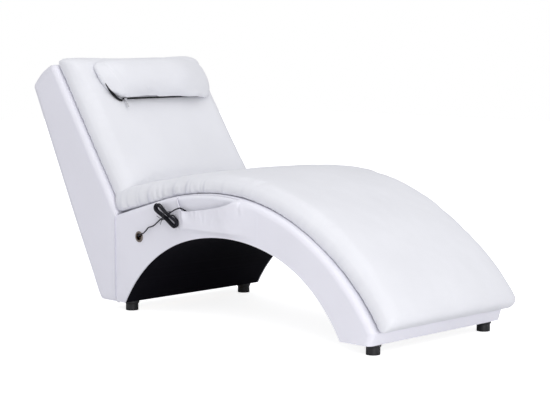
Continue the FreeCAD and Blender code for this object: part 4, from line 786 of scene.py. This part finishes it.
class LOUNGER_OT_pads(bpy.types.Operator):
    """Seat pad, back pad and neck pillow, swelled covers with drawn-in seams and gathers"""
    bl_idname = "lounger.pads"
    bl_label = "Pads"

    def execute(self, context):
        self.seat()
        self.back()
        self.pillow()
        return {"FINISHED"}

    def plumped(self, name, bm):
        """A pad from its block: gridded, swelled, and subdivided once for folds finer than its grid."""
        pad = from_bmesh(name, bm, made("pad_leather"))
        gridded(pad, sizes().pad_voxel)
        swell(pad, sizes().pad_cap)
        finer = pad.modifiers.new("finer", "SUBSURF")
        finer.levels = finer.render_levels = 1
        settle(pad)
        return pad

    def finish(self, pad, node, body="lounger", fill=0.8):
        """Hand a pad to the frame in place of its CAD solid."""
        pad.data.update()
        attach(pad, body)
        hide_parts(node)

    def seat(self):
        sz = sizes()
        start = -(sz.rear_bend * sz.rear_slope) - SEAT_RUN + PAD_GAP
        end = sz.front_bend * sz.seat_end + SEAT_TOE
        middle, half = (start + end) / 2.0, (end - start) / 2.0
        lean = math.tan(sz.back_lean - sz.rear_slope)
        zone_u, zone_v = roll_zones(SEAT_CELLS)
        bm = block_of(SEAT_CELLS)
        for vertex in bm.verts:
            u, v, t = vertex.co.x, vertex.co.y, (vertex.co.z + 1.0) / 2.0
            rear, far = u < 0.0, v > 0.0
            along, lift_u = rolled(u, half, REAR_ROLL if rear else TOE_ROLL, zone_u)
            along += middle
            reach = laid_out(SEAT_REACH, along) + (laid_out(SEAT_FLARE, along) if far else 0.0)
            side, lift_v = rolled(v, reach, laid_out(SEAT_ROLL, along) * (FAR_ROLL if far else 1.0), zone_v)
            lift = (max(lift_u, REAR_LIFT) if rear else lift_u) * lift_v
            height = (PAD_SEAM + (seat_height(along, v) - PAD_SEAM) * lift ** LIFT_POWER) * t + PAD_GAP
            resting = (1.0 - ease(start, start + REST_FADE, along)) * height * lean
            tuck = (1.0 - t) * UNDER_TUCK * (abs(u) == 1.0) * u
            vertex.co = on_deck(along - resting - tuck, height)
            corner = 1.0 - CORNER_IN * (1.0 - lift_u) * (1.0 - lift_v)
            vertex.co.y = side * corner - math.copysign(SEAT_TUCK * (1.0 - t), side) * (1.0 - lift_v)
        pad = self.plumped("seat_pad", bm)
        # Painted shade: darkens the pad's leatherette in the valleys of its side gathers
        painted_shade = pad.data.attributes.new("painted_fold_shade", "FLOAT", "POINT")
        for vertex in pad.data.vertices:
            painted_shade.data[vertex.index].value = self.rest_on_deck(vertex)
        self.finish(pad, "seat_cushion")

    def rest_on_deck(self, vertex):
        """Lay the seat pad on the deck and against the backrest, gather its sides, and give the share of
        painted shade in the folds' valleys.
        """
        along, height = over_deck(vertex.co)
        across = vertex.co.y
        side = ease(*SIDE_ZONE, abs(across))
        folds = gathers(along, across) * side * math.exp(-max(0.0, height - 0.006) / 0.022)
        across += math.copysign(folds - SEAM_IN * side * (1.0 - ease(*SEAM_ZONE, height)), across)
        height = max(height, PAD_LEAST)
        if height > PAD_FACE:
            height += 0.0012 * ripple(along, across, 0.0, 0.11) + folds * 0.5
        placed = on_deck(along, height)
        vertex.co = (placed.x, across, placed.z)
        out = over_back(vertex.co)[1]
        if out < PAD_LEAST:
            vertex.co += back_frame()[2] * (PAD_LEAST - out)
        # Share of painted shade: darker where a gather folds inwards
        return min(1.0, max(0.0, 0.05 - folds / 0.003)) if side > 0.0 else 0.0

    def back(self):
        sz = sizes()
        lean, turn = sz.back_lean, sz.back_lean - sz.rear_slope
        face = (sz.back_top_z - sz.back_corner_z) / math.cos(lean)
        zone_u, zone_v = roll_zones(BACK_CELLS)
        bm = block_of(BACK_CELLS)
        for vertex in bm.verts:
            u, v, t = vertex.co.x, vertex.co.y, (vertex.co.z + 1.0) / 2.0
            share, lift_u = rolled(u, 0.5, BACK_TOP_ROLL, zone_u)
            further, roll = BACK_FAR if v > 0.0 else BACK_NEAR
            side, lift_v = rolled(v, sz.pad_reach + further, roll, zone_v)
            lift_end = lift_u if u < 0.0 else 1.0
            rise = sz.back_pad_thick + BACK_CROWN * (1.0 - abs(v) ** 2.0)
            out = (PAD_SEAM + (rise - PAD_SEAM) * (lift_end * lift_v) ** LIFT_POWER) * t + PAD_GAP
            top = (sz.back_top_z - sz.back_pad_top - PAD_GAP + out * math.sin(lean)) / math.cos(lean)
            rest = seat_height(REST_AT, side / SEAT_REACH[0][1])
            foot = face - rest / math.cos(turn) + out * math.tan(turn) + BACK_FOOT
            corner = (1.0 - lift_end) * (1.0 - lift_v)
            vertex.co = on_back(top + (foot - top) * (share + 0.5) + BACK_CORNER * corner, 0.0, out)
            tuck = math.copysign(UNDER_TUCK * (1.0 - t), side) * (1.0 - lift_v)
            vertex.co.y = side * (1.0 - CORNER_IN * corner) - tuck
        pad = self.plumped("back_pad", bm)
        for vertex in pad.data.vertices:
            vertex.co = self.rest_on_back(vertex.co)
        self.finish(pad, "back_cushion")

    def rest_on_back(self, spot):
        """Lay the back pad on the backrest's face, gather its sides and keep its top end level."""
        down, out = over_back(spot)
        across = spot.y
        folds = gathers(down * 0.8 - 0.2, across + 0.5) * ease(*SIDE_ZONE, abs(across))
        folds *= math.exp(-out / 0.018) * 0.5
        across += math.copysign(folds, across)
        level = max(out, PAD_LEAST)
        if out > PAD_FACE:
            level += 0.0013 * ripple(down, across, 3.0, 0.13)
        placed = on_back(down, across, level)
        placed.z = min(placed.z, sizes().back_pad_top + BACK_PROUD)
        return placed

    def pillow(self):
        """The pillow's own cut, laid on a grid, swelled and softened."""
        pillow = shown("pillow", nodes["neck_pillow"].data.copy())
        pillow.data.materials.clear()
        pillow.data.materials.append(made("pad_leather"))
        gridded(pillow, sizes().pillow_voxel)
        swell(pillow, sizes().pillow_cap)
        for vertex in pillow.data.vertices:
            self.soften(vertex)
        self.finish(pillow, "neck_pillow", "pillow", 0.5)
        self.end_zip_and_shadow()

    def soften(self, vertex):
        """Soft face, thinner ends, a crease at the end seam, and room along the zip's track."""
        down, out = over_back(vertex.co)
        across, over = vertex.co.y, out - sizes().back_pad_thick
        soft = PILLOW_SOFT * ripple(down, across, 9.0, 0.07) * ease(0.01, 0.04, over)
        off = Vector((down, out)) - ZIP_TRACK
        clear = (1.0 - ease(*ZIP_FADE, off.length)) * (1.0 - ease(*ZIP_END, across))
        taper = sum(share * ease(start, end, across) for start, end, share in PILLOW_TAPERS)
        sunk = max(0.0, (over - PILLOW_SINK) * taper * (1.0 - clear))
        crease = bell(across - laid_out(END_SEAM, vertex.co.z), CREASE_WIDE) * ease(0.012, 0.03, over)
        vertex.co += back_frame()[2] * (soft - CREASE_DEEP * crease - sunk)
        if off.length < ZIP_ROOM and abs(across) < ZIP_HALF:
            push = off.normalized() * (ZIP_ROOM - off.length)
            vertex.co += back_frame()[1] * push.x + back_frame()[2] * push.y
        vertex.co.y += PILLOW_STRETCH * ease(0.11, 0.23, across)

    def end_zip_and_shadow(self):
        """The zip's dark tape where it turns up round the pillow's near end, thickened into a painted shadow
        under the pillow's corner.
        """
        line = spline_object("end_zip_line", [spot for spot, _ in END_ZIP_AND_SHADOW], 1.0)
        for point, (_, radius) in zip(line.data.splines[0].points, END_ZIP_AND_SHADOW):
            point.radius = radius
        band = tube_of(line, "pillow_end_zip_and_shadow", made("zip_tape_weave"))
        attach(band, "pillow")


# Backrest cover

GRID_START, GRID_STEP, GRID_COUNTS = 0.02, 0.03, (14, 23)
SEAM_CUTS, SEAM_WIDE, SEAM_DEEP, SEAM_TOP = (0.001, 0.003, 0.006, 0.010), 0.010, 0.0034, 0.012
SLACK, SLACK_SIZE, SLACK_FROM = 0.0009, 0.16, (0.05, 0.12)
HEM_DROP, HEM_ZONE, HEM_FROM, HEM_WIDE = 0.0062, (0.034, 0.045), (-0.44, -0.39), 0.012
TOP_FULL, REAR_FULL = 0.009, 0.0045


class LOUNGER_OT_shell(bpy.types.Operator):
    """Backrest cover: the box's own skin with slight slack, its hem drawn down over the panels"""
    bl_idname = "lounger.shell"
    bl_label = "Backrest cover"

    def execute(self, context):
        bm = bmesh.new()
        bm.from_mesh(nodes["back_cover"].data)
        bmesh.ops.remove_doubles(bm, verts=bm.verts, dist=1e-5)
        low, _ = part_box("back_cover")
        along, up = Vector((1.0, 0.0, 0.0)), Vector((0.0, 0.0, 1.0))
        cuts = [(way, way.dot(low) + GRID_START + GRID_STEP * step)
                for way, count in zip((along, up), GRID_COUNTS) for step in range(count)]
        cuts += [(along, sizes().joint_x - gap) for gap in SEAM_CUTS]
        for normal, spot in cuts:
            cut(bm, normal * spot, normal)
        bm.normal_update()
        # Painted shade along the groove of the seam beside the seat's cover
        painted_shade = bm.verts.layers.float.new("painted_fold_shade")
        depth = max(-over_back(vertex.co)[1] for vertex in bm.verts if over_back(vertex.co)[0] < 0.003)
        for vertex in bm.verts:
            vertex[painted_shade] = self.soften(vertex, depth)
        cover = from_bmesh("backrest_cover", bm, made("cover_leather"))
        cover.data.set_sharp_from_angle(angle=math.radians(38.0))
        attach(cover, "lounger")
        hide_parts("back_cover")
        return {"FINISHED"}

    def soften(self, vertex, depth):
        """Slack on the sides, a full top, a drawn down hem, and a rolled seam beside the seat's cover, with
        painted shade deep in its groove.
        """
        x, y, z = vertex.co
        down, out = over_back(vertex.co)
        half = sizes().half_width
        rearward = vertex.normal.x < -0.5
        seam = 0.0
        if abs(y) > half - 0.0005:
            slack = SLACK * ripple(x, y * 3.0, z, SLACK_SIZE) * ease(*SLACK_FROM, z)
            if z < sizes().back_corner_z - SEAM_TOP:
                seam = max(0.0, (x - sizes().joint_x + SEAM_WIDE) / SEAM_WIDE)
                slack = slack * (1.0 - seam) - SEAM_DEEP * (1.0 - math.sqrt(max(0.0, 1.0 - seam ** 2)))
            vertex.co.y += math.copysign(slack, y)
        if abs(y) > half - HEM_WIDE and z < HEM_ZONE[1]:
            vertex.co.z -= HEM_DROP * (1.0 - ease(*HEM_ZONE, z)) * ease(*HEM_FROM, x)
        full = math.sin(math.pi * min(1.0, max(0.0, -out / depth))) * (1.0 - ease(0.0, 0.012, down))
        vertex.co -= back_frame()[1] * TOP_FULL * full
        if rearward:
            vertex.co.x -= REAR_FULL * ease(0.06, 0.3, z)
        # Share of painted shade at the bottom of the seam's groove
        return ease(0.5, 0.95, seam)


# Pocket front and its lining

MOUTH = [(-0.072, 0.352), (-0.062, 0.346), (-0.056, 0.337), (-0.050, 0.329), (-0.042, 0.323),
         (-0.030, 0.3190), (-0.008, 0.3186), (0.025, 0.3236), (0.061, 0.3294), (0.114, 0.3392),
         (0.149, 0.3492), (0.170, 0.3590), (0.184, 0.366)]
MOUTH_LEFT, MOUTH_RIGHT = MOUTH[0][0], MOUTH[-1][0]
# Place, length and low edge of the pocket's front and of its lining
FRONT_LEFT, FRONT_LONG, FRONT_LOW, FRONT_PROUD = -0.092, 0.346, 0.2572, 0.0003
BACK_LEFT, BACK_LONG, BACK_LOW, BACK_DEPTH = -0.0785, 0.317, 0.305, 0.2708
DECK_ROLL, ROLL_SHARE = 0.016, 0.97  # Roll of the side's upper edge, and how far round it a sheet may go
HEM, HEM_HEIGHT = 0.0013, 0.0035
# Depths of the swell, its ripples, the fan of gathers, the upright folds, the drape and the tuck
SWELL, SWELL_SOFT, FAN, UPRIGHT, DRAPE, TUCK = 0.0118, 0.0011, 0.0019, 0.0017, 0.0022, 0.0016
FAN_CENTRE, UPRIGHT_AT, TUCK_AT = Vector((-0.064, 0.352)), -0.0625, 0.192


def deck_level(x):
    """Height of the deck over a place along the lounger."""
    radius = bend(x)
    return sizes().crest_z - radius + math.sqrt(radius ** 2 - (x - sizes().crest_x) ** 2)


def side_face(x, z):
    """Distance of the near side's surface from the middle, with the roll of its upper edge."""
    over = z - (deck_level(x) - DECK_ROLL)
    half = sizes().half_width
    if over <= 0.0:
        return half
    return half - DECK_ROLL + math.sqrt(DECK_ROLL ** 2 - min(over, DECK_ROLL * ROLL_SHARE) ** 2)


def pocket_swell(x, z):
    """How far the pocket's front stands out: full over the handset, gathered and folded to its left."""
    full = SWELL * window(x, (-0.072, -0.026), (0.125, 0.244)) * ease(0.2575, 0.273, z)
    soft = SWELL_SOFT * ripple(x, z, 4.0, 0.055) * ease(0.0, 0.004, full)
    corner = Vector((x, z)) - FAN_CENTRE
    angle, reach = math.atan2(corner.x, -corner.y), corner.length
    fan = math.sin(angle * 11.0 + 2.0 * wander(angle * 2.0, reach / 0.05, 1.0))
    fan *= FAN * window(reach, (0.012, 0.035), (0.06, 0.105)) * ease(0.05, 0.35, angle)
    upright = math.cos((x - UPRIGHT_AT) / 0.0028) * bell(x - UPRIGHT_AT, 0.0085)
    upright *= UPRIGHT * window(z, (0.2575, 0.268), (0.31, 0.335))
    drape = wander(x / 0.010, z / 0.055, 2.0) * window(x, (-0.045, -0.02), (0.04, 0.17))
    drape *= DRAPE * ease(0.27, 0.31, z)
    tuck = TUCK * math.sin((x - 0.19) / 0.0045) * bell(x - TUCK_AT, 0.012) * ease(0.315, 0.34, z)
    return full + soft + fan + upright + drape + tuck


def sheet_of(name, columns, rows, place, material, thickness):
    """A soft sheet: a grid laid out by a place function, given a thickness inwards."""
    bm = bmesh.new()
    bmesh.ops.create_grid(bm, x_segments=columns, y_segments=rows, size=1.0)
    for vertex in bm.verts:
        vertex.co = place((vertex.co.x + 1.0) / 2.0, (vertex.co.y + 1.0) / 2.0)
    bmesh.ops.recalc_face_normals(bm, faces=bm.faces)
    if sum(face.normal.y for face in bm.faces) > 0.0:
        bmesh.ops.reverse_faces(bm, faces=bm.faces)
    bmesh.ops.solidify(bm, geom=bm.faces[:], thickness=thickness)
    return from_bmesh(name, bm, material)


class LOUNGER_OT_pocket(bpy.types.Operator):
    """Pocket on the near side: bulging front with folds and a hemmed mouth, pale lining behind"""
    bl_idname = "lounger.pocket"
    bl_label = "Pocket"

    def execute(self, context):
        front = sheet_of("pocket_front", 150, 48, self.front_place, made("cover_leather"), 0.0022)
        front.data.set_sharp_from_angle(angle=math.radians(50.0))
        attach(front, "lounger")
        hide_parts("pocket_front_panel")
        back = sheet_of("pocket_back", 90, 30, self.back_place, made("pocket_lining_fabric"), 0.0006)
        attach(back, "lounger")
        return {"FINISHED"}

    def front_place(self, u, v):
        """Front sheet: flush with the side at its foot and ends, rolled out to a soft hem at the mouth."""
        x = FRONT_LEFT + FRONT_LONG * u
        top = deck_level(x) - 0.0045
        if MOUTH_LEFT < x < MOUTH_RIGHT:
            top = min(top, laid_out(MOUTH, x))
        z = FRONT_LOW + (top - FRONT_LOW) * v
        open_here = window(x, (MOUTH_LEFT, -0.05), (0.15, MOUTH_RIGHT))
        hem = HEM * open_here * bell((1.0 - v) * (top - FRONT_LOW), HEM_HEIGHT)
        swelled = pocket_swell(x, z) * (1.0 if open_here > 0.0 else ease(0.0, 0.2, 1.0 - v))
        return Vector((x, -(side_face(x, z) + FRONT_PROUD + swelled + hem), z))

    def back_place(self, u, v):
        """Lining behind the mouth, a little inside the side's surface."""
        x = BACK_LEFT + BACK_LONG * u
        z = BACK_LOW + (deck_level(x) - 0.0036 - BACK_LOW) * v
        wrinkle = 0.0002 * wander(x / 0.03, z / 0.02, 8.0)
        return Vector((x, -(min(BACK_DEPTH, side_face(x, z) - 0.0036) + wrinkle), z))


# Finishes of the CAD nodes that stay

FINISHES = [
    ("raw_ply", ["back_side_panel_near", "back_side_panel_far", "back_front_board", "back_rear_board",
                 "seat_deck_board", "seat_side_frame_near", "seat_side_frame_far", "seat_end_board"]),
    ("raw_pine", ["back_cross_rails", "seat_cross_rails"]),
    ("zinc_steel", ["joining_bolts", "joining_nuts", "foot_studs", "pod_motors"]),
    ("pod_plastic", ["massage_pod_" + name for name in PODS] + ["control_box"]),
    ("weight_brass", ["pod_weight_" + name for name in PODS]),
    ("handset_plastic", ["handset_front", "handset_rear"]),
    ("button_plastic", ["button_" + name for name in BUTTONS]),
    ("grommet_metal", ["cord_grommet"]),
    ("foot_plastic", ["foot_front_near", "foot_front_far", "foot_rear_near", "foot_rear_far"]),
    ("liner_fabric", ["back_bottom_liner", "arch_liner", "toe_liner"]),
    ("pocket_lining_fabric", ["pocket_lining"]),
    ("hook_tape_weave", ["pillow_hook_tape", "cushion_loop_tape"]),
    ("zip_nickel", ["zip_slider", "zip_pull"]),
    ("zip_tape_weave", ["pillow_zip"]),
    ("cover_leather", ["seat_cover_near", "seat_cover_far", "seat_cover_top"]),
]


class LOUNGER_OT_works(bpy.types.Operator):
    """Finishes for the frame, the fasteners, the massage works and the handset"""
    bl_idname = "lounger.works"
    bl_label = "Works"

    def execute(self, context):
        for finish, names in FINISHES:
            dress(names, made(finish))
        return {"FINISHED"}


class LOUNGER_PT_panel(bpy.types.Panel):
    """Buttons for the lounger's steps, with its sizes and colours"""
    bl_label = "Lounger"
    bl_idname = "LOUNGER_PT_panel"
    bl_space_type = "VIEW_3D"
    bl_region_type = "UI"
    bl_category = "Lounger"

    def draw(self, context):
        for operator in OPERATORS:
            self.layout.operator(operator.bl_idname)
        for group in ("lounger_sizes", "lounger_colours"):
            box = self.layout.box()
            values = getattr(context.scene, group)
            for name in values.bl_rna.properties.keys():
                if name not in ("rna_type", "name"):
                    box.prop(values, name)


OPERATORS = (LOUNGER_OT_stage, LOUNGER_OT_cord, LOUNGER_OT_works, LOUNGER_OT_shell, LOUNGER_OT_pocket,
             LOUNGER_OT_pads)
CLASSES = (LoungerSizes, LoungerColours, *OPERATORS, LOUNGER_PT_panel)


def register():
    for entry in CLASSES:
        bpy.utils.register_class(entry)
    bpy.types.Scene.lounger_sizes = PointerProperty(type=LoungerSizes)
    bpy.types.Scene.lounger_colours = PointerProperty(type=LoungerColours)


def unregister():
    del bpy.types.Scene.lounger_colours
    del bpy.types.Scene.lounger_sizes
    for entry in reversed(CLASSES):
        bpy.utils.unregister_class(entry)


def main():
    register()
    for operator in OPERATORS:
        group, name = operator.bl_idname.split(".")
        getattr(getattr(bpy.ops, group), name)()


if __name__ == "__main__":
    main()
